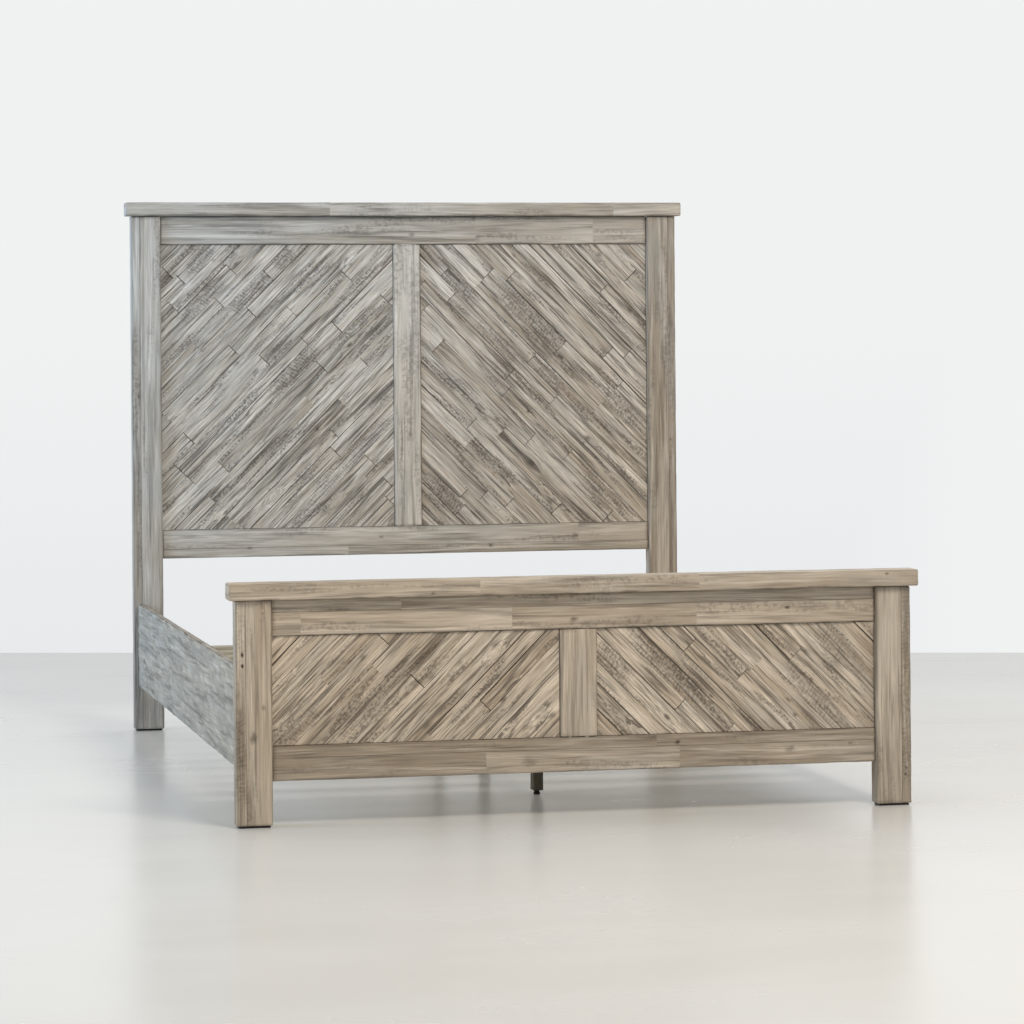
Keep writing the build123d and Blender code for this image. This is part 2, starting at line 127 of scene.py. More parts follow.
# Old nail holes, knots and dark spots: X, Z, radius and how deep they go.
HOLES = {
    "footboard_bottom_rail": (
        (0.237, 0.165, 0.0050, 0.004), (0.512, 0.140, 0.0095, 0.001),
        (-0.120, 0.130, 0.012, 0.0005), (0.660, 0.150, 0.004, 0.001)),
    "footboard_top_rail": (
        (0.507, 0.476, 0.0045, 0.004), (-0.010, 0.460, 0.007, 0.002),
        (-0.580, 0.528, 0.007, 0.002)),
    "footboard_top_cap": ((0.746, 0.552, 0.0035, 0.003), (-0.350, 0.530, 0.004, 0.001)),
    "headboard_bottom_rail": (
        (-0.470, 0.520, 0.006, 0.001), (-0.081, 0.545, 0.006, 0.001),
        (0.245, 0.515, 0.006, 0.002), (0.500, 0.540, 0.007, 0.001)),
    "headboard_top_rail": ((0.016, 1.430, 0.0065, 0.001),),
    "headboard_centre_stile": ((0.006, 0.846, 0.006, 0.001),),
    "headboard_post_left": ((-0.790, 0.964, 0.005, 0.001),),
    "headboard_post_right": ((0.790, 0.820, 0.003, 0.003),),
    "footboard_post_left": (
        (-0.768, 0.205, 0.009, 0.002), (-0.793, 0.397, 0.0045, 0.005),
        (-0.793, 0.372, 0.003, 0.005), (-0.745, 0.275, 0.005, 0.001)),
    "footboard_post_right": ((0.794, 0.090, 0.003, 0.003), (0.794, 0.072, 0.003, 0.003)),
    "headboard_planks_left": (
        (-0.179, 1.357, 0.006, 0.002), (-0.165, 1.344, 0.005, 0.001),
        (-0.448, 1.031, 0.009, 0.001), (-0.267, 0.862, 0.006, 0.002),
        (-0.217, 0.843, 0.006, 0.001), (-0.568, 1.357, 0.005, 0.001),
        (-0.551, 0.995, 0.006, 0.001)),
    "headboard_planks_right": (
        (0.543, 0.825, 0.008, 0.002), (0.530, 0.812, 0.004, 0.002),
        (0.362, 0.907, 0.004, 0.003), (0.110, 1.120, 0.004, 0.003),
        (0.582, 1.371, 0.007, 0.001), (0.674, 1.205, 0.007, 0.001),
        (0.294, 1.172, 0.004, 0.002), (0.324, 1.369, 0.006, 0.001)),
    "footboard_planks_left": (
        (-0.510, 0.382, 0.007, 0.001), (-0.349, 0.335, 0.008, 0.001),
        (-0.284, 0.363, 0.007, 0.001), (-0.179, 0.277, 0.008, 0.002),
        (-0.360, 0.222, 0.009, 0.001), (-0.063, 0.236, 0.007, 0.002),
        (-0.197, 0.403, 0.008, 0.001)),
    "footboard_planks_right": (
        (0.552, 0.372, 0.009, 0.001), (0.527, 0.220, 0.005, 0.002),
        (0.515, 0.199, 0.004, 0.002), (0.321, 0.271, 0.005, 0.002)),
}

# Length and width in metres of the lumps in each kind of wear and of the painted edge shade, and
# its own seed.
LUMPS = {
    "wave": (0.22, 0.07, 0), "pores": (0.085, 0.0065, 1), "scoops": (0.130, 0.019, 2),
    "facets": (0.050, 0.010, 3), "splits": (0.30, 0.016, 4), "saw_drift": (0.035, 0.012, 5),
    "saw_breaks": (0.016, 0.008, 6), "split_runs": (0.16, 0.05, 7), "chips": (0.045, 0.02, 9),
    "edges": (0.090, 0.060, 11), "knots": (0.009, 0.004, 0)}

# Noise in the materials: lumps to the metre along each axis, detail, roughness, and the
# two values between which it fades in.
PATTERNS = {
    "Tone": ((2.4, 30, 30), 3.0, 0.55, 0.32, 0.68),
    "Streaks": ((4.5, 95, 95), 4.0, 0.62, 0.50, 0.66),
    "Lines": ((6, 230, 230), 2.0, 0.50, 0.56, 0.68),
    "Light": ((3.6, 125, 125), 3.0, 0.60, 0.52, 0.68),
    "Fibre": ((14, 380, 380), 3.0, 0.65, 0.38, 0.62),
    "wash": ((5, 18, 18), 4.0, 0.60, 0.45, 0.66),
    "mould": ((3, 22, 22), 3.0, 0.50, 0.58, 0.72),
    "speckle": ((160, 150, 150), 3.0, 0.60, 0.46, 0.60),
    "blotch": ((4.5, 30, 30), 3.0, 0.60, 0.51, 0.64),
    "tarnish": ((90, 90, 90), 4.0, 0.60, 0.35, 0.70),
    "scuffs": ((35, 240, 140), 3.0, 0.60, 0.40, 0.75),
    "cloud": ((1.1, 1.1, 1.1), 6.0, 0.60, 0.30, 0.70),
    "smears": ((1.2, 2.4, 1), 4.0, 0.50, 0.30, 0.70),
}
GRAIN = ("Tone", "Streaks", "Lines", "Light", "Fibre")
GRAIN_SWAY = (0.0, 0.020, 0.020)    # how far the grain wanders from straight
KNOT_CELLS = (3.2, 12.0, 12.0)      # places for a knot to the metre
KNOT_SHAPE = (0.55, 1.0, 0.35)      # how fast one ends along each axis
KNOT_PULL = (0.030, 0.62)           # how far from a knot the grain bends, and how much
KNOT_HEART = (0.0035, 0.0085)       # radii between which a knot's heart fades

# How strongly the streaks, stains and painted edge shade show where they lie.
DARK_GRAIN = {"Streaks": 0.50, "Lines": 0.42, "Fibre": 0.24}
STAINS = {"light": 0.50, "speckle": 0.65, "blotch": 0.18, "sawn": 0.60, "hollow_dark_and_edge_shade": 0.60,
          "knots": 0.80, "hole": 0.85}
SAWN_BLOTCH = 0.6                   # how blotchy rough sawing makes the wood
TONE_PALENESS, TONE_BRIGHTNESS = 0.22, 0.05     # what one step of a board's tone adds

# Each weathered wood: its pale and common colours, then how strong its grain, green stain
# and mottling are, how fine its grain is, how often it has knots, and how deep its bump is.
WEATHERED = {
    "weathered_wood": ("pale", "middle", 0.85, 0.25, 0.50, 0.6, 0.04, 0.0010),
    "weathered_planks": ("plank_pale", "plank_middle", 1.5, 0.35, 0.90, 1.0, 0.25, 0.0014),
    "hewn_rail_wood": ("hewn_pale", "hewn_dark", 0.70, 0.15, 0.50, 0.8, 0.05, 0.0010),
    "slat_pine": ("slat", "slat", 0.50, 0.10, 0.0, 1.0, 0.20, 0.0004),
    "leg_wood": ("leg", "leg", 0.60, 0.10, 0.0, 1.0, 0.05, 0.0005),
}
# Each plain timber: its colour, the stretch of its grain, and its turn about Y.
TIMBERS = {
    "plywood": ("middle", (0.8, 1.2, 1.2), math.radians(90)),
    "dowel_beech": ("pale", (1.0, 1.0, 1.0), 0.0),
}
# Each worked surface: its colour, how metallic it is, its roughness where smooth and
# where worn, its grit to the metre, and the depth of that.
WORKED = {
    "black_steel": ("steel", 0.6, 0.40, 0.62, 2400, 0.0001),
    "zinc_steel": ("zinc", 1.0, 0.28, 0.48, 1500, 0.00005),
    "black_plastic": ("plastic", 0.0, 0.42, 0.60, 1800, 0.0001),
}

# Each light: its place, what it faces, its width and height, and its tint.
LIGHTS = {
    "window": ((-6.5, -0.9, 2.3), (-0.2, 0.9, 0.8), (3.0, 2.6), (0.62, 0.80, 1.0)),
    "key": ((1.2, -4.6, 4.4), (0.0, -0.6, 0.5), (1.7, 1.7), (1.0, 0.90, 0.78)),
    "top": ((0.0, 0.2, 4.6), (0.0, 0.2, 0.0), (5.0, 5.0), (1.0, 0.98, 0.95)),
}
WALL_SHADE_FADE_UP = (-0.3, 1.5)       # heights between which the wall's painted shade fades out
WALL_SHADE_FADE_RIGHT = (1.6, 2.5)     # the same, to the right


@dataclass
class Finish:
    """How one kind of board is worn, and how strong its painted edge shade is: sizes in metres."""
    slot: str
    rounding: float
    cell_along: float
    cell_across: float
    wave: float
    groove: float
    chip: float
    hewn: float = 0.0
    closing: float = 0.00015
    edge_shade_strength: float = 0.0             # strength of the painted shade line along its edges
    floorward_darkening: float = 0.0            # how much its tone drops towards the floor


# ---- Sizes and colours --------------------------------------------------------------
def length(name, description, default):
    return FloatProperty(name=name, description=description, default=default,
                         min=0.0, precision=4, unit="LENGTH")


def share(name, description, default):
    return FloatProperty(name=name, description=description, default=default,
                         min=0.0, max=1.0, subtype="FACTOR")


def colour(name, description, default):
    return FloatVectorProperty(name=name, description=description, default=default,
                               min=0.0, max=1.0, size=3, subtype="COLOR")


class BedWearSettings(bpy.types.PropertyGroup):
    """Edges and relief of the boards."""
    frame_rounding: length("Frame Edges", "Rounding of the posts' and rails' edges", 0.0028)
    cap_rounding: length("Cap Edges", "Rounding of the top caps' edges", 0.0038)
    plank_rounding: length("Plank Edges", "Rounding of the panel planks' edges", 0.0007)
    widest_gap: length("Widest Gap", "Extra gap beside a loosely fitted plank", 0.0020)
    closing: length("Closing", "How far a tight plank swells into the gap beside it", 0.00045)
    open_sides: share("Open Sides", "How many planks leave a gap beside them", 0.45)
    open_ends: share("Open Ends", "How many planks leave a gap at their end", 0.60)
    frame_groove: length("Frame Grain", "Depth of the weathered grain on the frame", 0.0006)
    plank_groove: length("Plank Grain", "Depth of the weathered grain on the planks", 0.0012)
    saw_depth: length("Saw Marks", "Depth of the saw marks", 0.0010)
    saw_pitch: length("Saw Pitch", "Distance from one saw mark to the next", 0.0100)
    hewn_depth: length("Hewn Relief", "Depth of the hewing on the side rails", 0.0030)
    chip_depth: length("Edge Chips", "Depth of the chips along worn edges", 0.0014)


class BedColourSettings(bpy.types.PropertyGroup):
    """Colours of the woods, metals and plastics."""
    pale: colour("Pale Wood", "Lightest washed wood", (0.596, 0.510, 0.404))
    middle: colour("Middle Wood", "Common colour of the wood", (0.412, 0.335, 0.249))
    # The dark colour also paints the shade along the boards' edges and joints.
    dark: colour("Dark Grain", "Stain in the grain and joints", (0.100, 0.079, 0.060))
    plank_pale: colour("Pale Planks", "Lightest washed planks", (0.785, 0.672, 0.535))
    plank_middle: colour("Middle Planks", "Common colour of the planks", (0.510, 0.410, 0.300))
    hewn_pale: colour("Pale Rail", "Lightest hewn wood", (0.540, 0.460, 0.345))
    hewn_dark: colour("Dark Rail", "Common colour of the hewn wood", (0.410, 0.370, 0.300))
    wash: colour("Grey Wash", "Grey left by the finish", (0.520, 0.480, 0.410))
    green: colour("Green Stain", "Faint greenish stain in the planks", (0.270, 0.265, 0.205))
    slat: colour("Slats", "Bare slat wood", (0.430, 0.350, 0.220))
    leg: colour("Centre Legs", "Dark grey-green leg wood", (0.120, 0.108, 0.080))
    steel: colour("Black Steel", "Brackets and bolts", (0.030, 0.030, 0.032))
    zinc: colour("Zinc", "Plated screws and nuts", (0.560, 0.570, 0.560))
    plastic: colour("Plastic", "Feet and glides", (0.014, 0.014, 0.015))
    light: colour("Worn Highlights", "Pale streaks where the wash stayed", (0.860, 0.760, 0.630))
    # A bluish tint: painted cool light from the left, together with the wood's greyer weathering.
    greying_and_cool_light: FloatVectorProperty(
        name="Greying", description="What the greyest wood's colour is multiplied by", size=3,
        default=(0.95, 1.12, 1.38), min=0.0, max=2.0)
    whitened: share("Whitening", "How much of the wood the grey wash covers", 0.40)


class BedStageSettings(bpy.types.PropertyGroup):
    """Camera, floor and lights."""
    camera_place: FloatVectorProperty(
        name="Camera", description="Where the camera stands", size=3,
        default=(-1.899, -9.263, 1.0936), subtype="TRANSLATION", unit="LENGTH")
    camera_turn: FloatVectorProperty(
        name="Camera Turn", description="How the camera is turned", size=3,
        default=(math.radians(90), math.radians(0.459), math.radians(-12.067)), subtype="EULER")
    lens: FloatProperty(name="Lens", description="Focal length in millimetres",
                        default=126.12, min=1.0, unit="CAMERA")
    rise: FloatProperty(name="Vertical Shift", description="Camera shift, as a share of the frame",
                        default=-0.1596)
    wall_place: FloatVectorProperty(
        name="Wall", description="Where the wall stands behind the bed", size=2,
        default=(0.80, 3.35), subtype="XYZ", unit="LENGTH")
    wall_turn: FloatProperty(name="Wall Turn", description="How the wall is turned",
                             default=math.radians(-17.3), subtype="ANGLE")
    floor_reach: length("Floor", "How far the floor reaches each way", 14.0)
    floor_colour: colour("Floor Colour", "Pale polished floor", (0.634, 0.628, 0.605))
    wall_colour: colour("Wall Colour", "White wall", (0.875, 0.890, 0.890))
    # Painted shade on the wall near the floor and behind the bed.
    wall_shaded_foot_colour: colour("Wall Foot", "White wall near the floor", (0.800, 0.818, 0.832))
    ambient: FloatProperty(name="Ambient", description="Strength of the light from all round",
                           default=0.42, min=0.0)
    window_power: FloatProperty(name="Window", description="Cool light from the left",
                                default=250.0, min=0.0, unit="POWER")
    key_power: FloatProperty(name="Key", description="Warm light from the front",
                             default=172.0, min=0.0, unit="POWER")
    top_power: FloatProperty(name="Top", description="Soft light from above",
                             default=60.0, min=0.0, unit="POWER")


def finishes():
    """Every kind of board, by name, from the settings."""
    wear = bpy.context.scene.bed_wear
    return {
        "frame": Finish("weathered_wood", wear.frame_rounding, 0.008, 0.0045,
                        0.0006, wear.frame_groove, wear.chip_depth, edge_shade_strength=0.9, floorward_darkening=1.8),
        "cap": Finish("weathered_wood", wear.cap_rounding, 0.008, 0.0045,
                      0.0006, wear.frame_groove, wear.chip_depth, edge_shade_strength=0.3, floorward_darkening=1.8),
        "plank": Finish("weathered_planks", wear.plank_rounding, 0.006, 0.0030,
                        0.0010, wear.plank_groove, 0.6 * wear.chip_depth,
                        closing=wear.closing),
        "hewn": Finish("hewn_rail_wood", wear.frame_rounding, 0.006, 0.0055,
                       0.0006, 0.5 * wear.frame_groove, wear.chip_depth, wear.hewn_depth,
                       edge_shade_strength=0.3),
        "core": Finish("weathered_wood", wear.plank_rounding, 0.012, 0.0080,
                       0.0004, 0.6 * wear.frame_groove, 0.5 * wear.chip_depth),
        "slat": Finish("slat_pine", 0.0015, 0.020, 0.0080, 0.0004, 0.0003, 0.0004),
        "leg": Finish("leg_wood", 0.0015, 0.006, 0.0050, 0.0003, 0.0003, 0.0006),
    }


# ---- Selecting and shaping ----------------------------------------------------------
def deselect():
    if bpy.context.mode != "OBJECT":
        bpy.ops.object.mode_set(mode="OBJECT")
    bpy.ops.object.select_all(action="DESELECT")


def pick(*objects):
    """Selects these objects alone and makes the first one active."""
    deselect()
    for thing in objects:
        thing.select_set(True)
    bpy.context.view_layer.objects.active = objects[0]


def edit(thing, everything=False):
    """Opens a mesh for editing, with all of it or what was picked in it selected."""
    pick(thing)
    bpy.ops.object.mode_set(mode="EDIT")
    if everything:
        bpy.ops.mesh.select_all(action="SELECT")


def read_points(mesh):
    places = np.empty(len(mesh.vertices) * 3, np.float32)
    mesh.vertices.foreach_get("co", places)
    return places.reshape(-1, 3).astype(float)


def store(mesh, name, values):
    """Keeps three numbers for each point, for the materials to read."""
    attribute = mesh.attributes.new(name, "FLOAT_VECTOR", "POINT")
    attribute.data.foreach_set("vector", np.asarray(values, np.float32).ravel())


def select_none(mesh):
    for parts in (mesh.vertices, mesh.edges, mesh.polygons):
        parts.foreach_set("select", np.zeros(len(parts), bool))


def select_edges_along(block, axis):
    """Picks the edges that run along X, Y or Z and are not part of a rounded corner."""
    mesh = block.data
    ends = np.empty(len(mesh.edges) * 2, np.int32)
    mesh.edges.foreach_get("vertices", ends)
    points = read_points(mesh)
    runs = np.abs(points[ends[1::2]] - points[ends[0::2]])
    straight = runs[:, axis] > 0.999 * np.linalg.norm(runs, axis=1)
    select_none(mesh)
    mesh.edges.foreach_set("select", straight)


def divide(block, axis, parts):
    """Cuts a block across one axis into about this many equal parts."""
    first = min(MOST_CUTS, max(1, round(math.sqrt(parts))))
    for pieces in (first, max(1, round(parts / first))):
        if pieces > 1:
            select_edges_along(block, axis)
            edit(block)
            bpy.ops.mesh.subdivide(number_cuts=pieces - 1)
            bpy.ops.object.mode_set(mode="OBJECT")


def round_edges(block, size, rounding, glued):
    """Rounds the edges of a block, apart from those along the sides that are glued."""
    if rounding <= 0:
        return
    bpy.context.tool_settings.mesh_select_mode = (False, True, False)
    mesh = block.data
    select_none(mesh)
    half = Vector(size) / 2
    for edge in mesh.edges:
        middle = sum((mesh.vertices[index].co for index in edge.vertices), Vector()) / 2
        sides = {(axis, middle[axis] > 0) for axis in range(3)
                 if abs(middle[axis]) > 0.99 * half[axis]}
        edge.select = not sides & glued
    edit(block)
    bpy.ops.mesh.bevel(offset=rounding, segments=2, affect="EDGES")
    bpy.ops.object.mode_set(mode="OBJECT")


def add_block(size, finish, along_cell=None, glued=frozenset()):
    """A rounded block at the origin with an even mesh: X along the grain, face up Z."""
    deselect()
    bpy.ops.mesh.primitive_cube_add(size=1)
    block = bpy.context.object
    bpy.ops.transform.resize(value=size)
    bpy.ops.object.transform_apply(location=False, rotation=False, scale=True)
    round_edges(block, size, min(finish.rounding, 0.3 * min(size)), glued)
    bpy.context.tool_settings.mesh_select_mode = (False, True, False)
    for axis, cell in enumerate((along_cell or finish.cell_along, finish.cell_across,
                                 2 * finish.cell_across)):
        divide(block, axis, size[axis] / cell)
    return block


def flatten_back(block):
    """Turns the hidden back of a block into one face."""
    mesh = block.data
    select_none(mesh)
    bpy.context.tool_settings.mesh_select_mode = (False, False, True)
    mesh.polygons.foreach_set("select", [face.normal.z < -0.999 for face in mesh.polygons])
    edit(block)
    bpy.ops.mesh.dissolve_faces()
    bpy.ops.object.mode_set(mode="OBJECT")


def worn_surface_modifier():
    """A node group that moves each point along its normal by its own wear."""
    name = "sink_worn_surface"
    if name in bpy.data.node_groups:
        return bpy.data.node_groups[name]
    group = bpy.data.node_groups.new(name, "GeometryNodeTree")
    group.interface.new_socket("Geometry", in_out="INPUT", socket_type="NodeSocketGeometry")
    group.interface.new_socket("Geometry", in_out="OUTPUT", socket_type="NodeSocketGeometry")
    start = group.nodes.new("NodeGroupInput")
    end = group.nodes.new("NodeGroupOutput")
    sink = add(group, "GeometryNodeInputNamedAttribute", {"Name": "sink"},
               data_type="FLOAT_VECTOR")
    normal = add(group, "GeometryNodeInputNormal")
    offset = add(group, "ShaderNodeVectorMath",
                 {0: normal.outputs[0], 1: sink.outputs["Attribute"]}, operation="MULTIPLY")
    moved = add(group, "GeometryNodeSetPosition",
                {"Geometry": start.outputs[0], "Offset": offset.outputs["Vector"]})
    group.links.new(moved.outputs[0], end.inputs[0])
    return group


def sink_surface(block, sink):
    """Moves each point of a block into it by its own depth along each axis, in metres."""
    store(block.data, "sink", -sink)
    pick(block)
    modifier = block.modifiers.new("worn", "NODES")
    modifier.node_group = worn_surface_modifier()
    bpy.ops.object.modifier_apply(modifier=modifier.name)
    block.data.attributes.remove(block.data.attributes["sink"])


# ---- Wear ---------------------------------------------------------------------------
def rough(points, kind, seed):
    """Smooth noise of about -1 to 1, with the lumps of one kind of wear."""
    along, across, own_seed = LUMPS[kind]
    stretched = points / (along, across, across) + (seed + own_seed) * SEED_STEP
    return np.array([noise.noise(place) for place in stretched.tolist()])


def saw_marks(points, mask, seed):
    """Rows of uneven strokes across the grain, 0 to 1, where the mask is."""
    pitch = bpy.context.scene.bed_wear.saw_pitch
    drift = 0.6 * pitch * rough(points, "saw_drift", seed)
    phase = (points[:, 0] + 0.35 * points[:, 1] + drift) / pitch
    strokes = 0.5 + 0.5 * np.sin(2 * math.pi * phase)
    broken = np.clip(0.65 + 1.7 * rough(points, "saw_breaks", seed), 0, 1)
    return mask * broken * strokes ** 1.3


def edge_wear(points, size, glued, seed):
    """Chips near a board's long edges, 0 to 1, apart from its glued sides."""
    inset = np.stack([size[axis] / 2 - np.abs(points[:, axis]) for axis in (1, 2)], axis=1)
    for axis, high in glued:
        if axis > 0:
            on_side = (points[:, axis] > 0) == high
            inset[on_side, axis - 1] = size[axis]
    inset = np.sort(inset, axis=1)[:, 1]
    near = np.clip(1 - inset / CHIP_REACH, 0, 1)
    return near * np.clip(1.6 * rough(points, "chips", seed), 0, 1)


def painted_edge_shade(points, size, glued, seed):
    """Painted shade along a board's edges and ends, 0 to 1, apart from its glued sides."""
    inset = np.stack([size[axis] / 2 - np.abs(points[:, axis]) for axis in range(3)], axis=1)
    for axis, high in glued:
        on_side = (points[:, axis] > 0) == high
        inset[on_side, axis] = size[axis]
    inset = np.sort(inset, axis=1)[:, 1]
    line = np.clip(1.4 - inset / PAINTED_EDGE_SHADE_WIDTH, 0, 1)
    return line * np.clip(0.75 + 0.9 * rough(points, "edges", seed), 0, 1)


def hewing(points, seed):
    """Long shallow scoops left by an adze, 0 to 1."""
    slanted = points.copy()
    slanted[:, 1] += HEWING_SLANT * slanted[:, 0]
    scoops = 1 - np.abs(rough(slanted, "scoops", seed))
    return np.clip(0.75 * scoops ** 2 + 0.40 * rough(slanted, "facets", seed), 0, 1)


def near_side(points, size, side):
    """1 on one side of a board, fading to 0 a few millimetres into it."""
    axis, high = side
    inset = size[axis] / 2 - points[:, axis] * (1 if high else -1)
    return np.clip(1 - inset / JOINT_FADE, 0, 1)


def sink_by(points, size, depth, common, glued):
    """The depth along each axis, which is even at glued sides and doesn't part them."""
    for side in glued:
        near = near_side(points, size, side)
        depth = depth * (1 - near) + common * near
    sink = np.repeat(depth[:, None], 3, axis=1)
    for side in glued:
        sink[near_side(points, size, side) > 0.999, side[0]] = 0
    return sink


def wear_depth(points, size, finish, sawn, glued, seed):
    """How far each point of a board lies under its new surface, in metres."""
    wave = finish.wave * (0.5 + 0.5 * rough(points, "wave", seed))
    pores = np.clip(rough(points, "pores", seed) - 0.12, 0, 1)
    split = 1 - np.clip(np.abs(rough(points, "splits", seed)) / SPLIT_WIDTH, 0, 1)
    split *= np.clip(3 * rough(points, "split_runs", seed) - 0.6, 0, 1)
    depth = wave + finish.groove * (1.3 * pores + 1.1 * split)
    depth += finish.chip * edge_wear(points, size, glued, seed)
    depth += bpy.context.scene.bed_wear.saw_depth * sawn
    if finish.hewn:
        depth += finish.hewn * hewing(points, seed)
    return depth


# ---- Boards -------------------------------------------------------------------------
def lay_matrix(lay, centre):
    """The move from a board's own axes to its place in the bed."""
    along, across = lay
    face = along.cross(across)
    turn = Matrix((along, across, face)).transposed()
    return Matrix.Translation(centre) @ turn.to_4x4()


def in_board(corners, lay):
    """A board's size and centre from its corner points."""
    along, across = lay
    axes = np.array([along, across, along.cross(across)])
    own = corners @ axes.T
    low, high = own.min(axis=0), own.max(axis=0)
    return tuple(high - low), Vector(axes.T @ ((low + high) / 2))


def loose_parts(node):
    """The corner points of every separate board in a CAD node, in a fixed order."""
    copy = frame["nodes"][node].copy()
    copy.data = copy.data.copy()
    bpy.context.scene.collection.objects.link(copy)
    edit(copy, everything=True)
    bpy.ops.mesh.remove_doubles(threshold=MERGE_DISTANCE)
    bpy.ops.mesh.separate(type="LOOSE")
    bpy.ops.object.mode_set(mode="OBJECT")
    loose = list(bpy.context.selected_objects)
    parts = [read_points(part.data) for part in loose]
    for part in loose:
        bpy.data.objects.remove(part)
    return sorted(parts, key=lambda corners: tuple(corners.mean(axis=0).round(4)))


def spots(points, lay, centre, marks):
    """How far each point is inside the given holes and knots: depth, and stain 0 to 1."""
    depth, stain = np.zeros(len(points)), np.zeros(len(points))
    front = np.clip(points[:, 2] / points[:, 2].max(), 0, 1)
    for x, z, radius, deep in marks:
        offset = Vector((x, centre.y, z)) - centre
        away = np.hypot((points[:, 0] - offset.dot(lay[0])) / KNOT_LENGTH,
                        points[:, 1] - offset.dot(lay[1])) / radius
        near = away < 3
        away[near] += 0.45 * rough(points[near], "knots", x)
        depth = np.maximum(depth, deep * front * np.clip(1.5 - 1.6 * away, 0, 1))
        strength = front * min(1.0, 0.35 + 160 * deep)
        stain = np.maximum(stain, strength * np.clip(1.4 - 1.2 * away, 0, 1))
    return depth, stain


def glued_sides(centre, size, lay, whole):
    """The sides of a board, as axis and direction, that meet another in its member."""
    axes = (*lay, lay[0].cross(lay[1]))
    low, high = whole
    glued = set()
    for index, axis in enumerate(axes):
        ends = sorted((low.dot(axis), high.dot(axis)))
        middle = centre.dot(axis)
        if middle - size[index] / 2 > ends[0] + MERGE_DISTANCE:
            glued.add((index, False))
        if middle + size[index] / 2 < ends[1] - MERGE_DISTANCE:
            glued.add((index, True))
    return glued


def fit_board(corners, lay, glued, closing, gaps):
    """A board's size and centre, let out to meet its neighbours and cut back at gaps."""
    size, centre = in_board(corners, lay)
    size, axes = list(size), (*lay, lay[0].cross(lay[1]))
    for axis, high in SIDES:
        closed = closing if (axis, high) in glued else 0.0
        change = -gaps.get((axis, high), -closed)
        size[axis] += change
        centre = centre + axes[axis] * (change / 2 if high else -change / 2)
    return size, centre


def greyness_and_cool_light(world, board_y):
    """How grey the finish is, with painted cool light from the left: most of all at the
    headboard's upper left.
    """
    start, *slopes = FOOTBOARD_GREY_AND_COOL_LIGHT if board_y < FOOTBOARD_BACK else HEADBOARD_GREY_AND_COOL_LIGHT
    grey = start + (world - (0, 0, GREY_AND_COOL_LIGHT_HEIGHT)) @ np.array(slopes)
    return np.clip(grey, 0, MOST_GREY_AND_COOL_LIGHT)


def keep_wear_and_painted_light(block, points, place, dice, worn, mask, tone, floorward_darkening):
    """Keeps a board's grain, wear, painted edge shade, painted cool light and colour with its
    points, for the materials.
    """
    offset = np.array([dice.uniform(-9, 9), dice.uniform(-4, 4), dice.uniform(-4, 4)])
    world = points @ np.array(place.to_3x3()).T + np.array(place.translation)
    store(block.data, "grain", points + offset)
    # Its X is the hollows' dark together with the painted shade along the edges.
    store(block.data, "worn", np.stack(worn, axis=1))
    tone = tone - floorward_darkening * np.clip(1 - world[:, 2] / DARKER_NEAR_FLOOR_UP_TO, 0, 1)
    # grey holds the greyer finish together with the painted cool light from the left.
    grey = greyness_and_cool_light(world, place.translation.y)
    store(block.data, "board", np.stack([tone, grey, mask], axis=1))


def make_board(corners, lay, finish, dice, glued, marks=(), patches=(), trim=None,
               gaps=None, tone=0.0):
    """One worn board where a CAD board stands. Its grain and stains, with its painted edge shade,
    are kept as wear.
    """
    size, centre = fit_board(corners, lay, glued, finish.closing, gaps or {})
    place = lay_matrix(lay, centre)
    seed = dice.uniform(0, 90)
    here = [patch for patch in patches if crosses(patch, lay, size, centre)]
    if any(crosses(mark, lay, size, centre) for mark in marks):
        finish = replace(finish, cell_along=FINE_CELLS[0], cell_across=FINE_CELLS[1])
    fine = bpy.context.scene.bed_wear.saw_pitch / 4
    block = add_block(size, finish, fine if here else None, glued)
    if trim:
        flatten_back(block)
    points = read_points(block.data)
    mask = patch_mask(points, here, lay, centre)
    sawn = saw_marks(points, mask, seed)
    hole, stain = spots(points, lay, centre, marks)
    depth = wear_depth(points, size, finish, sawn, glued, seed)
    deepest = finish.wave + 1.5 * finish.groove + finish.hewn
    # The hollows' dark: darker in the relief's hollows, and painted shade along the edges and
    # ends.
    hollow_dark_and_edge_shade = np.clip((depth - 0.5 * finish.wave) / deepest, 0, 1)
    back = (points[:, 2] < -0.499 * size[2]) & bool(trim)
    hollow_dark_and_edge_shade = np.maximum(hollow_dark_and_edge_shade, finish.edge_shade_strength * painted_edge_shade(points, size, glued, seed))
    keep_wear_and_painted_light(block, points, place, dice, (hollow_dark_and_edge_shade, stain, sawn), mask, tone, finish.floorward_darkening)
    sink = sink_by(points, size, np.where(back, 0, depth + hole), 0.5 * finish.wave, glued)
    sink_surface(block, sink)
    block.matrix_world = place
    pick(block)
    bpy.ops.object.transform_apply(location=True, rotation=True, scale=True)
    if trim:
        trim_to(block, *trim)
    return block


def crosses(mark, lay, size, centre):
    """Whether a knot, hole or rough-sawn patch lies on this board."""
    offset = Vector((mark[0], centre.y, mark[1])) - centre
    return abs(offset.dot(lay[1])) < size[1] / 2 and abs(offset.dot(lay[0])) < size[0] / 2


def patch_mask(points, patches, lay, centre):
    """1 inside the rough-sawn patches of a board, fading out along it."""
    mask = np.zeros(len(points))
    for x, z, reach, strength in patches:
        start = (Vector((x, centre.y, z)) - centre).dot(lay[0])
        away = np.abs(points[:, 0] - start) / reach
        mask = np.maximum(mask, strength * np.clip(2.2 - 2 * away, 0, 1))
    return mask


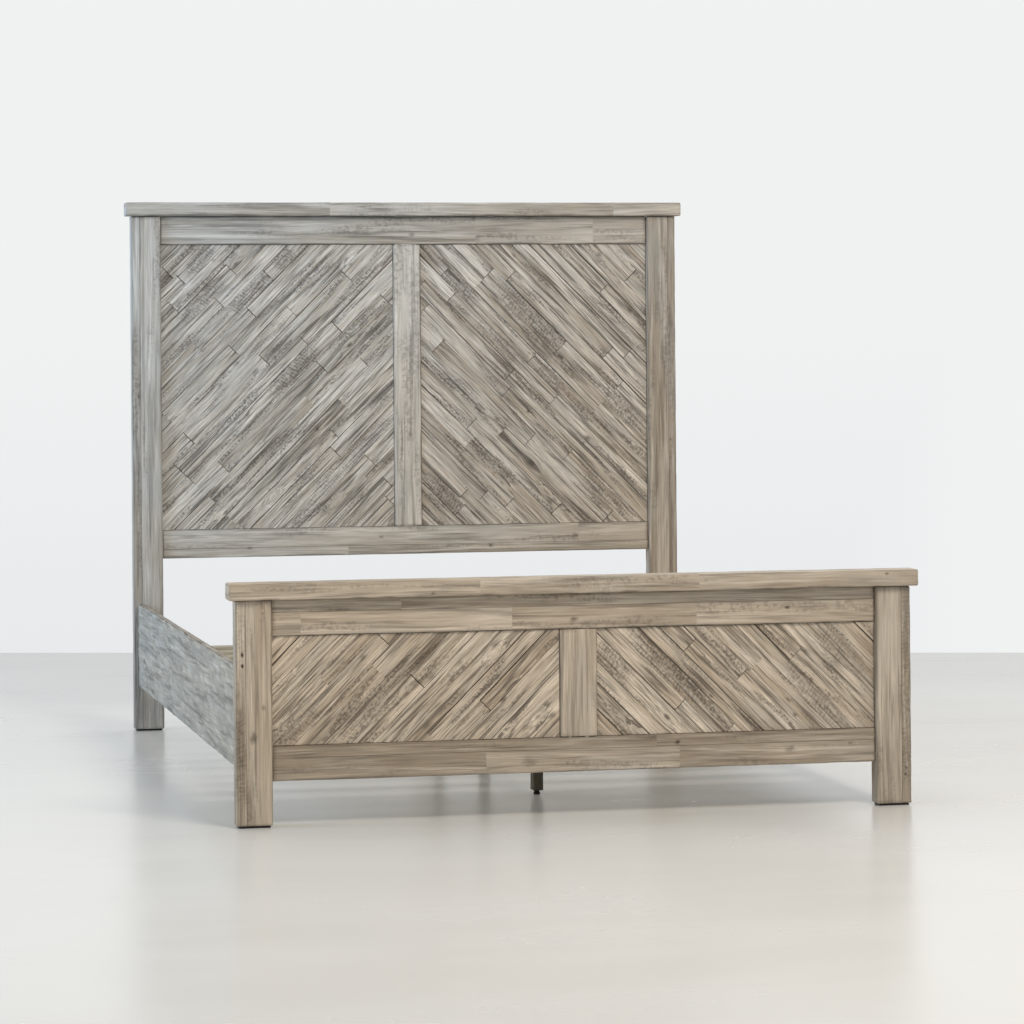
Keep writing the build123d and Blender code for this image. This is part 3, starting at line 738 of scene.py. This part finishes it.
def trim_to(block, low, high):
    """Cuts off what stands outside a rectangle in X and Z, and closes the cuts."""
    points = read_points(block.data)
    for axis, normal in ((0, RIGHT), (2, UP)):
        for limit, side in ((low, -1), (high, 1)):
            if (side * (points[:, axis] - limit[axis])).max() > 0:
                edit(block, everything=True)
                bpy.ops.mesh.bisect(plane_co=limit, plane_no=side * normal,
                                    use_fill=True, clear_outer=True)
                bpy.ops.object.mode_set(mode="OBJECT")


def finish_piece(blocks, node, slot):
    """Joins a node's boards into one piece that stands for it."""
    pick(*blocks)
    if len(blocks) > 1:
        bpy.ops.object.join()
    piece = bpy.context.object
    piece.name = f"wood_{node}"
    piece.data.name = piece.name
    bpy.ops.object.shade_smooth_by_angle(angle=SMOOTH_ANGLE)
    piece.data.materials.clear()
    piece.data.materials.append(material(slot))
    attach(piece, BED_BODY)
    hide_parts(node)
    return piece


def rebuild(node, lay, finish):
    """Worn boards in place of every board of a CAD node."""
    dice = random.Random(node)
    marks, patches = HOLES.get(node, ()), SAWN_PATCHES.get(node, ())
    low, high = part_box(node)
    blocks = []
    for corners in loose_parts(node):
        size, centre = in_board(corners, lay)
        glued = glued_sides(centre, size, lay, (low, high))
        narrow = size[1] < SMALLEST_BOARD * abs((high - low).dot(lay[1]))
        gaps = {side: STRIP_GAP for side in glued if narrow and side[0] == 1}
        if finish.floorward_darkening:
            gaps.update({(0, far): END_GAP for far in (False, True) if (0, far) not in glued})
        tone = dice.uniform(-1.2, -0.4) if narrow else dice.uniform(-0.5, 0.8)
        blocks.append(make_board(corners, lay, finish, dice, glued, marks, patches, gaps=gaps,
                                 tone=tone + TONES.get(node, 0.0)))
    return finish_piece(blocks, node, finish.slot)


def covers_offcut(corners, lay, high, trim):
    """Whether a plank's end stands so near the panel's edge that no offcut fits there."""
    size, centre = in_board(corners, lay)
    along = lay[0] if high else -lay[0]
    for across in (lay[1], -lay[1]):
        corner = centre + along * (size[0] / 2 + OFFCUT) + across * size[1] / 2
        if all(trim[0][axis] < corner[axis] < trim[1][axis] for axis in (0, 2)):
            return False
    return True


def rebuild_panel(node, lay, finish):
    """The planks of one chevron panel, trimmed to its opening."""
    dice = random.Random(node)
    wear = bpy.context.scene.bed_wear
    marks, patches = HOLES.get(node, ()), SAWN_PATCHES[node]
    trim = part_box(node)
    blocks = []
    for corners in loose_parts(node):
        gaps = {}
        if dice.random() < wear.open_ends:
            gaps[(0, True)] = wear.widest_gap * dice.uniform(0.1, 0.6)
        if dice.random() < wear.open_sides:
            gaps[(1, True)] = wear.widest_gap * dice.random() ** 2.5
        for high in (False, True):
            if covers_offcut(corners, lay, high, trim):
                gaps[(0, high)] = -OFFCUT
        glued = {side for side in SIDES if side[0] < 2 and side not in gaps}
        blocks.append(make_board(corners, lay, finish, dice, glued, marks, patches, trim, gaps,
                                 dice.uniform(-1, 1)))
    return finish_piece(blocks, node, finish.slot)


# ---- Shader building blocks ---------------------------------------------------------
def add(tree, kind, inputs=None, **settings):
    """Adds a node, sets its properties, and fills or links its inputs."""
    made = tree.nodes.new(kind)
    for name, value in settings.items():
        setattr(made, name, value)
    for key, value in (inputs or {}).items():
        if isinstance(value, bpy.types.NodeSocket):
            tree.links.new(value, made.inputs[key])
        else:
            made.inputs[key].default_value = value
    return made


def calculate(tree, operation, first, second=0.0):
    node = add(tree, "ShaderNodeMath", {0: first, 1: second}, operation=operation)
    return node.outputs[0]


def band(tree, value, low, high, start=0.0, end=1.0):
    """Fades smoothly from start to end as a value goes from low to high."""
    node = add(tree, "ShaderNodeMapRange",
               {"Value": value, "From Min": low, "From Max": high, "To Min": start,
                "To Max": end}, interpolation_type="SMOOTHSTEP")
    return node.outputs["Result"]


def blend(tree, factor, first, second, mode="MIX"):
    node = add(tree, "ShaderNodeMix", {0: factor, 6: first, 7: second},
               data_type="RGBA", blend_type=mode)
    return node.outputs[2]


def stretched_noise(tree, vector, stretch, detail=2.0, roughness=0.5):
    """Noise with so many lumps to the metre along each axis."""
    mapping = add(tree, "ShaderNodeMapping", {"Vector": vector, "Scale": stretch})
    return add(tree, "ShaderNodeTexNoise",
               {"Vector": mapping.outputs[0], "Scale": 1.0, "Detail": detail,
                "Roughness": roughness})


def pattern_noise(tree, vector, name):
    """The plain noise of one of the patterns."""
    lumps, detail, roughness = PATTERNS[name][:3]
    return stretched_noise(tree, vector, lumps, detail, roughness).outputs["Fac"]


def fade_pattern(tree, value, name, start=0.0, end=1.0):
    """Fades a pattern's noise from start to end between its two values."""
    low, high = PATTERNS[name][3:]
    return band(tree, value, low, high, start, end)


def pattern(tree, vector, name, start=0.0, end=1.0):
    return fade_pattern(tree, pattern_noise(tree, vector, name), name, start, end)


def new_group(name, inputs, outputs):
    """An empty shader group with sockets of these labels and types."""
    group = bpy.data.node_groups.new(name, "ShaderNodeTree")
    for sockets, in_out in ((inputs, "INPUT"), (outputs, "OUTPUT")):
        for label, kind in sockets.items():
            group.interface.new_socket(label, in_out=in_out, socket_type=f"NodeSocket{kind}")
    return group, group.nodes.new("NodeGroupInput"), group.nodes.new("NodeGroupOutput")


def link_results(tree, end, results):
    for label, socket in results.items():
        tree.links.new(socket, end.inputs[label])
    return tree


def rgba(values, factor=1.0):
    return (*[part * factor for part in values], 1.0)


def grain_group():
    """Wood grain with knots: tone, streaks, fibre, knots and height along X."""
    name = "wood_grain"
    if name in bpy.data.node_groups:
        return bpy.data.node_groups[name]
    tree, start, end = new_group(name, {"Vector": "Vector", "Knots": "Float"},
                                 dict.fromkeys((*GRAIN, "Knots", "Height"), "Float"))
    wander = stretched_noise(tree, start.outputs["Vector"], (1.8, 9, 9), 2.0)
    sway = add(tree, "ShaderNodeVectorMath",
               {0: wander.outputs["Color"], 1: (0.5, 0.5, 0.5)}, operation="SUBTRACT")
    sway = add(tree, "ShaderNodeVectorMath", {0: sway.outputs[0], 1: GRAIN_SWAY},
               operation="MULTIPLY")
    swayed = add(tree, "ShaderNodeVectorMath", {0: start.outputs["Vector"], 1: sway.outputs[0]})
    bent, knots = knot_nodes(tree, swayed.outputs[0], start.outputs["Knots"])
    plain = {label: pattern_noise(tree, bent, label) for label in GRAIN}
    results = {label: fade_pattern(tree, plain[label], label) for label in GRAIN}
    height = calculate(tree, "MULTIPLY", results["Streaks"], -0.55)
    height = calculate(tree, "ADD", height, calculate(tree, "MULTIPLY", plain["Fibre"], 0.5))
    height = calculate(tree, "SUBTRACT", height, calculate(tree, "MULTIPLY", knots, 0.4))
    return link_results(tree, end, {**results, "Knots": knots, "Height": height})


def knot_nodes(tree, vector, amount):
    """Bends the grain round scattered knots and gives their dark hearts."""
    scaled = add(tree, "ShaderNodeVectorMath", {0: vector, 1: KNOT_CELLS}, operation="MULTIPLY")
    cells = add(tree, "ShaderNodeTexVoronoi", {"Vector": scaled.outputs[0], "Scale": 1.0})
    centre = add(tree, "ShaderNodeVectorMath", {0: cells.outputs["Position"], 1: KNOT_CELLS},
                 operation="DIVIDE")
    offset = add(tree, "ShaderNodeVectorMath", {0: centre.outputs[0], 1: vector},
                 operation="SUBTRACT")
    oval = add(tree, "ShaderNodeVectorMath", {0: offset.outputs[0], 1: KNOT_SHAPE},
               operation="MULTIPLY")
    away = add(tree, "ShaderNodeVectorMath", {0: oval.outputs[0]}, operation="LENGTH")
    dice = add(tree, "ShaderNodeSeparateColor", {0: cells.outputs["Color"]})
    present = calculate(tree, "LESS_THAN", dice.outputs[0], amount)
    reach, strength = KNOT_PULL
    pull = band(tree, away.outputs["Value"], 0.0, reach, strength, 0.0)
    pull = calculate(tree, "MULTIPLY", pull, present)
    shift = add(tree, "ShaderNodeVectorMath", {0: offset.outputs[0]}, operation="SCALE")
    tree.links.new(pull, shift.inputs["Scale"])
    bent = add(tree, "ShaderNodeVectorMath", {0: vector, 1: shift.outputs[0]})
    heart = band(tree, away.outputs["Value"], *KNOT_HEART, 1.0, 0.0)
    return bent.outputs[0], calculate(tree, "MULTIPLY", heart, present)


def stain(tree, shade, colour_to, *factors):
    """Mixes a colour in by the product of some factors."""
    amount = factors[0]
    for factor in factors[1:]:
        amount = calculate(tree, "MULTIPLY", amount, factor)
    return blend(tree, amount, shade, colour_to)


def washed_colour(tree, start, vector, grain, tone):
    """A board's clean colour: its own tone, washed grey and green in patches."""
    colours = bpy.context.scene.bed_colours
    paleness = calculate(tree, "ADD", grain.outputs["Tone"],
                         calculate(tree, "MULTIPLY", tone, TONE_PALENESS))
    shade = blend(tree, paleness, start.outputs["Middle"], start.outputs["Pale"])
    bright = calculate(tree, "MULTIPLY_ADD", tone, TONE_BRIGHTNESS)
    bright.node.inputs[2].default_value = 1.0
    lit = add(tree, "ShaderNodeVectorMath", {0: shade, "Scale": bright}, operation="SCALE")
    shade = stain(tree, lit.outputs[0], rgba(colours.wash), pattern(tree, vector, "wash"),
                  colours.whitened)
    return stain(tree, shade, rgba(colours.green), pattern(tree, vector, "mould"),
                 start.outputs["Green"])


def stained_colour(tree, shade, grain, contrast, speckle, blotch, worn):
    """Adds pale streaks, dark grain, the stains of wear and painted edge shade to a board's
    colour.
    """
    colours = bpy.context.scene.bed_colours
    dark = rgba(colours.dark)
    shade = stain(tree, shade, rgba(colours.light), grain.outputs["Light"], contrast,
                  STAINS["light"])
    for label, amount in DARK_GRAIN.items():
        shade = stain(tree, shade, dark, grain.outputs[label], contrast, amount)
    shade = stain(tree, shade, dark, speckle, blotch, STAINS["speckle"])
    # The hollows' dark holds the painted shade along the edges and joints.
    for name, amount in (("blotch", blotch), ("sawn", worn.outputs["Z"]),
                         ("hollow_dark_and_edge_shade", worn.outputs["X"]), ("knots", grain.outputs["Knots"])):
        shade = stain(tree, shade, dark, amount, STAINS[name])
    return stain(tree, shade, rgba(colours.dark, 0.45), worn.outputs["Y"], STAINS["hole"])


def weather_group():
    """Colours a weathered board from its grain, its own tone and its wear, with painted edge shade
    and painted cool light from the left.
    """
    name = "weathered_finish"
    if name in bpy.data.node_groups:
        return bpy.data.node_groups[name]
    tree, start, end = new_group(
        name,
        {**dict.fromkeys(("Vector", "Worn", "Board"), "Vector"),
         **dict.fromkeys(("Pale", "Middle"), "Color"),
         **dict.fromkeys(("Contrast", "Green", "Mottle", "Fineness", "Knots"), "Float")},
        {"Color": "Color", "Roughness": "Float", "Height": "Float"})
    vector = add(tree, "ShaderNodeVectorMath",
                 {0: start.outputs["Vector"], "Scale": start.outputs["Fineness"]},
                 operation="SCALE").outputs[0]
    grain = add(tree, "ShaderNodeGroup", {"Vector": vector, "Knots": start.outputs["Knots"]},
                node_tree=grain_group())
    board = add(tree, "ShaderNodeSeparateXYZ", {0: start.outputs["Board"]})
    worn = add(tree, "ShaderNodeSeparateXYZ", {0: start.outputs["Worn"]})
    speckle = pattern(tree, vector, "speckle")
    blotch = calculate(tree, "MULTIPLY", pattern(tree, vector, "blotch"),
                       start.outputs["Mottle"])
    blotch = calculate(tree, "MAXIMUM", blotch,
                       calculate(tree, "MULTIPLY", board.outputs["Z"], SAWN_BLOTCH))
    shade = washed_colour(tree, start, vector, grain, board.outputs["X"])
    shade = stained_colour(tree, shade, grain, start.outputs["Contrast"], speckle, blotch, worn)
    # Painted cool light from the left, with the wood's greyer weathering: a bluish tint multiplied
    # in by the grey value.
    greying_and_cool_light = rgba(bpy.context.scene.bed_colours.greying_and_cool_light)
    shade = blend(tree, board.outputs["Y"], shade, greying_and_cool_light, "MULTIPLY")
    roughness = band(tree, grain.outputs["Streaks"], 0.0, 1.0, 0.55, 0.80)
    pits = calculate(tree, "MULTIPLY", calculate(tree, "MULTIPLY", speckle, blotch), 0.8)
    height = calculate(tree, "SUBTRACT", grain.outputs["Height"], pits)
    return link_results(tree, end, {"Color": shade, "Roughness": roughness, "Height": height})


# ---- Materials ----------------------------------------------------------------------
def empty_material(name):
    made = bpy.data.materials.new(name)
    made.use_nodes = True
    made.node_tree.nodes.clear()
    return made, made.node_tree


def new_material(name):
    made, tree = empty_material(name)
    shader = tree.nodes.new("ShaderNodeBsdfPrincipled")
    output = tree.nodes.new("ShaderNodeOutputMaterial")
    tree.links.new(shader.outputs[0], output.inputs["Surface"])
    return made, tree, shader


def add_bump(tree, shader, height, depth, strength=1.0):
    relief = add(tree, "ShaderNodeBump", {"Height": height, "Strength": strength,
                                          "Distance": depth})
    tree.links.new(relief.outputs[0], shader.inputs["Normal"])


def weathered(name, pale, middle, contrast, green, mottle, fineness, knots, bump):
    """A weathered wood that follows each board's own grain, tone and wear."""
    made, tree, shader = new_material(name)
    read = {key: add(tree, "ShaderNodeAttribute", attribute_name=key).outputs["Vector"]
            for key in ("grain", "worn", "board")}
    finish = add(tree, "ShaderNodeGroup",
                 {"Vector": read["grain"], "Worn": read["worn"], "Board": read["board"],
                  "Pale": rgba(pale), "Middle": rgba(middle), "Contrast": contrast,
                  "Green": green, "Mottle": mottle, "Fineness": fineness, "Knots": knots},
                 node_tree=weather_group())
    tree.links.new(finish.outputs["Color"], shader.inputs["Base Color"])
    tree.links.new(finish.outputs["Roughness"], shader.inputs["Roughness"])
    add_bump(tree, shader, finish.outputs["Height"], bump)
    shader.inputs["Specular IOR Level"].default_value = 0.25
    return made


def plain_timber(name, tint, stretch, turn):
    """Planed wood on a piece's own coordinates, with its grain along X after the turn."""
    made, tree, shader = new_material(name)
    place = add(tree, "ShaderNodeTexCoord").outputs["Object"]
    lie = add(tree, "ShaderNodeMapping", {"Vector": place, "Rotation": (0.0, turn, 0.0),
                                          "Scale": stretch})
    grain = add(tree, "ShaderNodeGroup", {"Vector": lie.outputs[0], "Knots": 0.15},
                node_tree=grain_group())
    shade = blend(tree, grain.outputs["Tone"], rgba(tint, 0.78), rgba(tint, 1.12))
    for label, amount, darkness in (("Streaks", 0.35, 0.5), ("Knots", 0.6, 0.3)):
        shade = stain(tree, shade, rgba(tint, darkness), grain.outputs[label], amount)
    tree.links.new(shade, shader.inputs["Base Color"])
    tree.links.new(band(tree, grain.outputs["Fibre"], 0.0, 1.0, 0.5, 0.7),
                   shader.inputs["Roughness"])
    add_bump(tree, shader, grain.outputs["Height"], 0.0003)
    return made


def worked_surface(name, tint, metallic, smooth, worn, grit, depth):
    """Metal or plastic with fine mottling, scuffs and a faint relief."""
    made, tree, shader = new_material(name)
    place = add(tree, "ShaderNodeTexCoord").outputs["Object"]
    shade = blend(tree, pattern(tree, place, "tarnish"), rgba(tint, 0.85), rgba(tint, 1.2))
    tree.links.new(shade, shader.inputs["Base Color"])
    tree.links.new(pattern(tree, place, "scuffs", smooth, worn), shader.inputs["Roughness"])
    grain = stretched_noise(tree, place, (grit, grit, grit), 2.0).outputs["Fac"]
    add_bump(tree, shader, grain, depth, 0.6)
    shader.inputs["Metallic"].default_value = metallic
    return made


def material(slot):
    """The Blender material of one of the record's material slots."""
    name = f"finish_{slot}"
    if name in bpy.data.materials:
        return bpy.data.materials[name]
    colours = bpy.context.scene.bed_colours
    if slot in WEATHERED:
        pale, middle, *look = WEATHERED[slot]
        return weathered(name, getattr(colours, pale), getattr(colours, middle), *look)
    maker, table = (plain_timber, TIMBERS) if slot in TIMBERS else (worked_surface, WORKED)
    tint, *look = table[slot]
    return maker(name, getattr(colours, tint), *look)


# ---- Operators ----------------------------------------------------------------------
class BedOperator(bpy.types.Operator):
    """Shared by every step of the build."""
    bl_options = {"REGISTER", "UNDO"}

    @classmethod
    def poll(cls, context):
        return context.scene is not None


class BED_OT_posts(BedOperator):
    """Builds the four posts, each from a wide board and a narrow edge strip"""
    bl_idname = "bed.posts"
    bl_label = "Posts"

    def execute(self, context):
        for end in ("headboard", "footboard"):
            for side in ("left", "right"):
                rebuild(f"{end}_post_{side}", UPRIGHT, finishes()["frame"])
        return {"FINISHED"}


class BED_OT_rails(BedOperator):
    """Builds the top and bottom rails of both ends and the stiles between their panels"""
    bl_idname = "bed.rails"
    bl_label = "Rails and Stiles"

    def execute(self, context):
        for end in ("headboard", "footboard"):
            rebuild(f"{end}_top_rail", LEVEL, finishes()["frame"])
            rebuild(f"{end}_bottom_rail", LEVEL, finishes()["frame"])
            rebuild(f"{end}_centre_stile", UPRIGHT, finishes()["frame"])
        return {"FINISHED"}


class BED_OT_caps(BedOperator):
    """Builds the jointed caps along the top of both ends"""
    bl_idname = "bed.caps"
    bl_label = "Top Caps"

    def execute(self, context):
        for end in ("headboard", "footboard"):
            rebuild(f"{end}_top_cap", LEVEL, finishes()["cap"])
        return {"FINISHED"}


class BED_OT_panels(BedOperator):
    """Builds the planks of the four chevron panels"""
    bl_idname = "bed.panels"
    bl_label = "Chevron Panels"

    def execute(self, context):
        for end in ("headboard", "footboard"):
            rebuild_panel(f"{end}_planks_left", RISING_RIGHT, finishes()["plank"])
            rebuild_panel(f"{end}_planks_right", RISING_LEFT, finishes()["plank"])
        return {"FINISHED"}


class BED_OT_side_rails(BedOperator):
    """Builds the side rails, each a hewn face board on a plain core board"""
    bl_idname = "bed.side_rails"
    bl_label = "Side Rails"

    def execute(self, context):
        for side, lay in (("left", LEFT_RAIL), ("right", RIGHT_RAIL)):
            rebuild(f"side_rail_face_{side}", lay, finishes()["hewn"])
            rebuild(f"side_rail_{side}", lay, finishes()["core"])
        return {"FINISHED"}


class BED_OT_slats(BedOperator):
    """Builds the slats, the ledgers that carry them and the centre beam"""
    bl_idname = "bed.slats"
    bl_label = "Slats and Ledgers"

    def execute(self, context):
        slats = sorted(node for node in frame["nodes"] if node.startswith("slat_")
                       and node[-1].isdigit())
        for node in slats:
            rebuild(node, CROSS_FLAT, finishes()["slat"])
        for node in ("slat_ledger_left", "slat_ledger_right", "centre_beam"):
            rebuild(node, LONG_FLAT, finishes()["slat"])
        return {"FINISHED"}


class BED_OT_legs(BedOperator):
    """Builds the three legs under the centre beam"""
    bl_idname = "bed.legs"
    bl_label = "Centre Legs"

    def execute(self, context):
        for place in ("front", "middle", "rear"):
            rebuild(f"centre_leg_{place}", UPRIGHT, finishes()["leg"])
        return {"FINISHED"}


class BED_OT_fittings(BedOperator):
    """Gives the backing sheets, fittings and feet their materials"""
    bl_idname = "bed.fittings"
    bl_label = "Fittings"

    def execute(self, context):
        slots = {part["node"]: part["material_slot"] for part in frame["record"]["subparts"]}
        for node, shown in frame["nodes"].items():
            if not shown.hide_render:
                dress(shown, material(slots[node]))
        return {"FINISHED"}


def dress(shown, finish):
    """Gives a CAD piece its material without touching its mesh."""
    if not shown.material_slots:
        shown.data.materials.append(None)
    for slot in shown.material_slots:
        slot.link = "OBJECT"
        slot.material = finish


class BED_OT_stage(BedOperator):
    """Sets up the floor, the wall, the lights and the camera"""
    bl_idname = "bed.stage"
    bl_label = "Studio"

    def execute(self, context):
        add_floor(context.scene.bed_stage)
        add_wall(context.scene.bed_stage)
        add_lights(context.scene.bed_stage)
        add_camera(context.scene.bed_stage)
        add_world(context.scene.bed_stage)
        return {"FINISHED"}


# ---- Stage --------------------------------------------------------------------------
def add_floor(stage):
    deselect()
    bpy.ops.mesh.primitive_grid_add(x_subdivisions=8, y_subdivisions=8,
                                    size=2 * stage.floor_reach)
    floor = bpy.context.object
    floor.name = "studio_floor"
    made, tree, shader = new_material("polished_floor")
    place = add(tree, "ShaderNodeTexCoord").outputs["Object"]
    shade = blend(tree, pattern(tree, place, "cloud"), rgba(stage.floor_colour, 0.985),
                  rgba(stage.floor_colour, 1.012))
    tree.links.new(shade, shader.inputs["Base Color"])
    tree.links.new(pattern(tree, place, "smears", 0.23, 0.28), shader.inputs["Roughness"])
    floor.data.materials.append(made)


def add_wall(stage):
    """A glowing white wall that can be seen from the front only, so that it hides nothing behind.
    Painted shade darkens it near the floor, apart from at its far right.
    """
    deselect()
    reach = stage.floor_reach
    bpy.ops.mesh.primitive_plane_add(size=2 * reach)
    wall = bpy.context.object
    wall.name = "studio_wall"
    wall.location = (stage.wall_place[0], stage.wall_place[1], reach)
    wall.rotation_euler = (math.radians(90), 0.0, stage.wall_turn)
    bpy.ops.object.transform_apply(location=True, rotation=True, scale=False)
    made, tree = empty_material("white_wall")
    place = add(tree, "ShaderNodeTexCoord").outputs["Object"]
    place = add(tree, "ShaderNodeSeparateXYZ", {0: place})
    out_of_wall_shade = calculate(tree, "MAXIMUM", band(tree, place.outputs["Z"], *WALL_SHADE_FADE_UP),
                        band(tree, place.outputs["X"], *WALL_SHADE_FADE_RIGHT))
    shade = blend(tree, out_of_wall_shade, rgba(stage.wall_shaded_foot_colour), rgba(stage.wall_colour))
    glow = add(tree, "ShaderNodeEmission", {"Color": shade, "Strength": 1.0})
    clear = add(tree, "ShaderNodeBsdfTransparent")
    behind = add(tree, "ShaderNodeNewGeometry").outputs["Backfacing"]
    mix = add(tree, "ShaderNodeMixShader", {0: behind, 1: glow.outputs[0], 2: clear.outputs[0]})
    output = tree.nodes.new("ShaderNodeOutputMaterial")
    tree.links.new(mix.outputs[0], output.inputs["Surface"])
    wall.data.materials.append(made)


def add_light(name, place, aim, size, power, tint):
    deselect()
    bpy.ops.object.light_add(type="AREA", location=place)
    light = bpy.context.object
    light.name = name
    light.data.shape = "RECTANGLE"
    light.data.size, light.data.size_y = size
    light.data.energy = power
    light.data.color = tint
    light.rotation_euler = (Vector(aim) - Vector(place)).to_track_quat("-Z", "Y").to_euler()
    light.visible_camera = False
    light.visible_glossy = False


def add_lights(stage):
    for name, (place, aim, size, tint) in LIGHTS.items():
        add_light(f"{name}_light", place, aim, size, getattr(stage, f"{name}_power"), tint)


def add_camera(stage):
    data = bpy.data.cameras.new("studio_camera")
    camera = bpy.data.objects.new("studio_camera", data)
    bpy.context.scene.collection.objects.link(camera)
    camera.location = stage.camera_place
    camera.rotation_euler = stage.camera_turn
    data.lens = stage.lens
    data.shift_y = stage.rise
    data.clip_end = 4 * stage.floor_reach
    bpy.context.scene.camera = camera


def add_world(stage):
    """Even light from all round, which the camera sees as a white background."""
    scene = bpy.context.scene
    scene.world = bpy.data.worlds.new("studio_air")
    scene.world.use_nodes = True
    tree = scene.world.node_tree
    tree.nodes.clear()
    lit = add(tree, "ShaderNodeBackground", {"Color": (1.0, 1.0, 1.0, 1.0),
                                             "Strength": stage.ambient})
    seen = add(tree, "ShaderNodeBackground", {"Color": rgba(stage.wall_colour),
                                              "Strength": 1.0})
    ray = add(tree, "ShaderNodeLightPath").outputs["Is Camera Ray"]
    mix = add(tree, "ShaderNodeMixShader", {0: ray, 1: lit.outputs[0], 2: seen.outputs[0]})
    output = tree.nodes.new("ShaderNodeOutputWorld")
    tree.links.new(mix.outputs[0], output.inputs["Surface"])
    scene.view_settings.view_transform = "Standard"


# ---- Add-on -------------------------------------------------------------------------
SETTINGS = {"bed_wear": BedWearSettings, "bed_colours": BedColourSettings,
            "bed_stage": BedStageSettings}
STEPS = (BED_OT_posts, BED_OT_rails, BED_OT_caps, BED_OT_panels, BED_OT_side_rails,
         BED_OT_slats, BED_OT_legs, BED_OT_fittings, BED_OT_stage)


class BED_PT_build(bpy.types.Panel):
    """Lists the steps and settings of the bed frame"""
    bl_label = "Chevron Bed Frame"
    bl_idname = "BED_PT_build"
    bl_space_type = "VIEW_3D"
    bl_region_type = "UI"
    bl_category = "Bed"

    def draw(self, context):
        for step in STEPS:
            self.layout.operator(step.bl_idname)
        for name in SETTINGS:
            settings = getattr(context.scene, name)
            box = self.layout.box()
            for key in settings.__annotations__:
                box.prop(settings, key)


def register():
    for name, group in SETTINGS.items():
        bpy.utils.register_class(group)
        setattr(bpy.types.Scene, name, PointerProperty(type=group))
    for step in STEPS:
        bpy.utils.register_class(step)
    bpy.utils.register_class(BED_PT_build)


def unregister():
    bpy.utils.unregister_class(BED_PT_build)
    for step in reversed(STEPS):
        bpy.utils.unregister_class(step)
    for name, group in SETTINGS.items():
        delattr(bpy.types.Scene, name)
        bpy.utils.unregister_class(group)


def main():
    register()
    bpy.ops.bed.posts()
    bpy.ops.bed.rails()
    bpy.ops.bed.caps()
    bpy.ops.bed.panels()
    bpy.ops.bed.side_rails()
    bpy.ops.bed.slats()
    bpy.ops.bed.legs()
    bpy.ops.bed.fittings()
    bpy.ops.bed.stage()


if __name__ == "__main__":
    main()
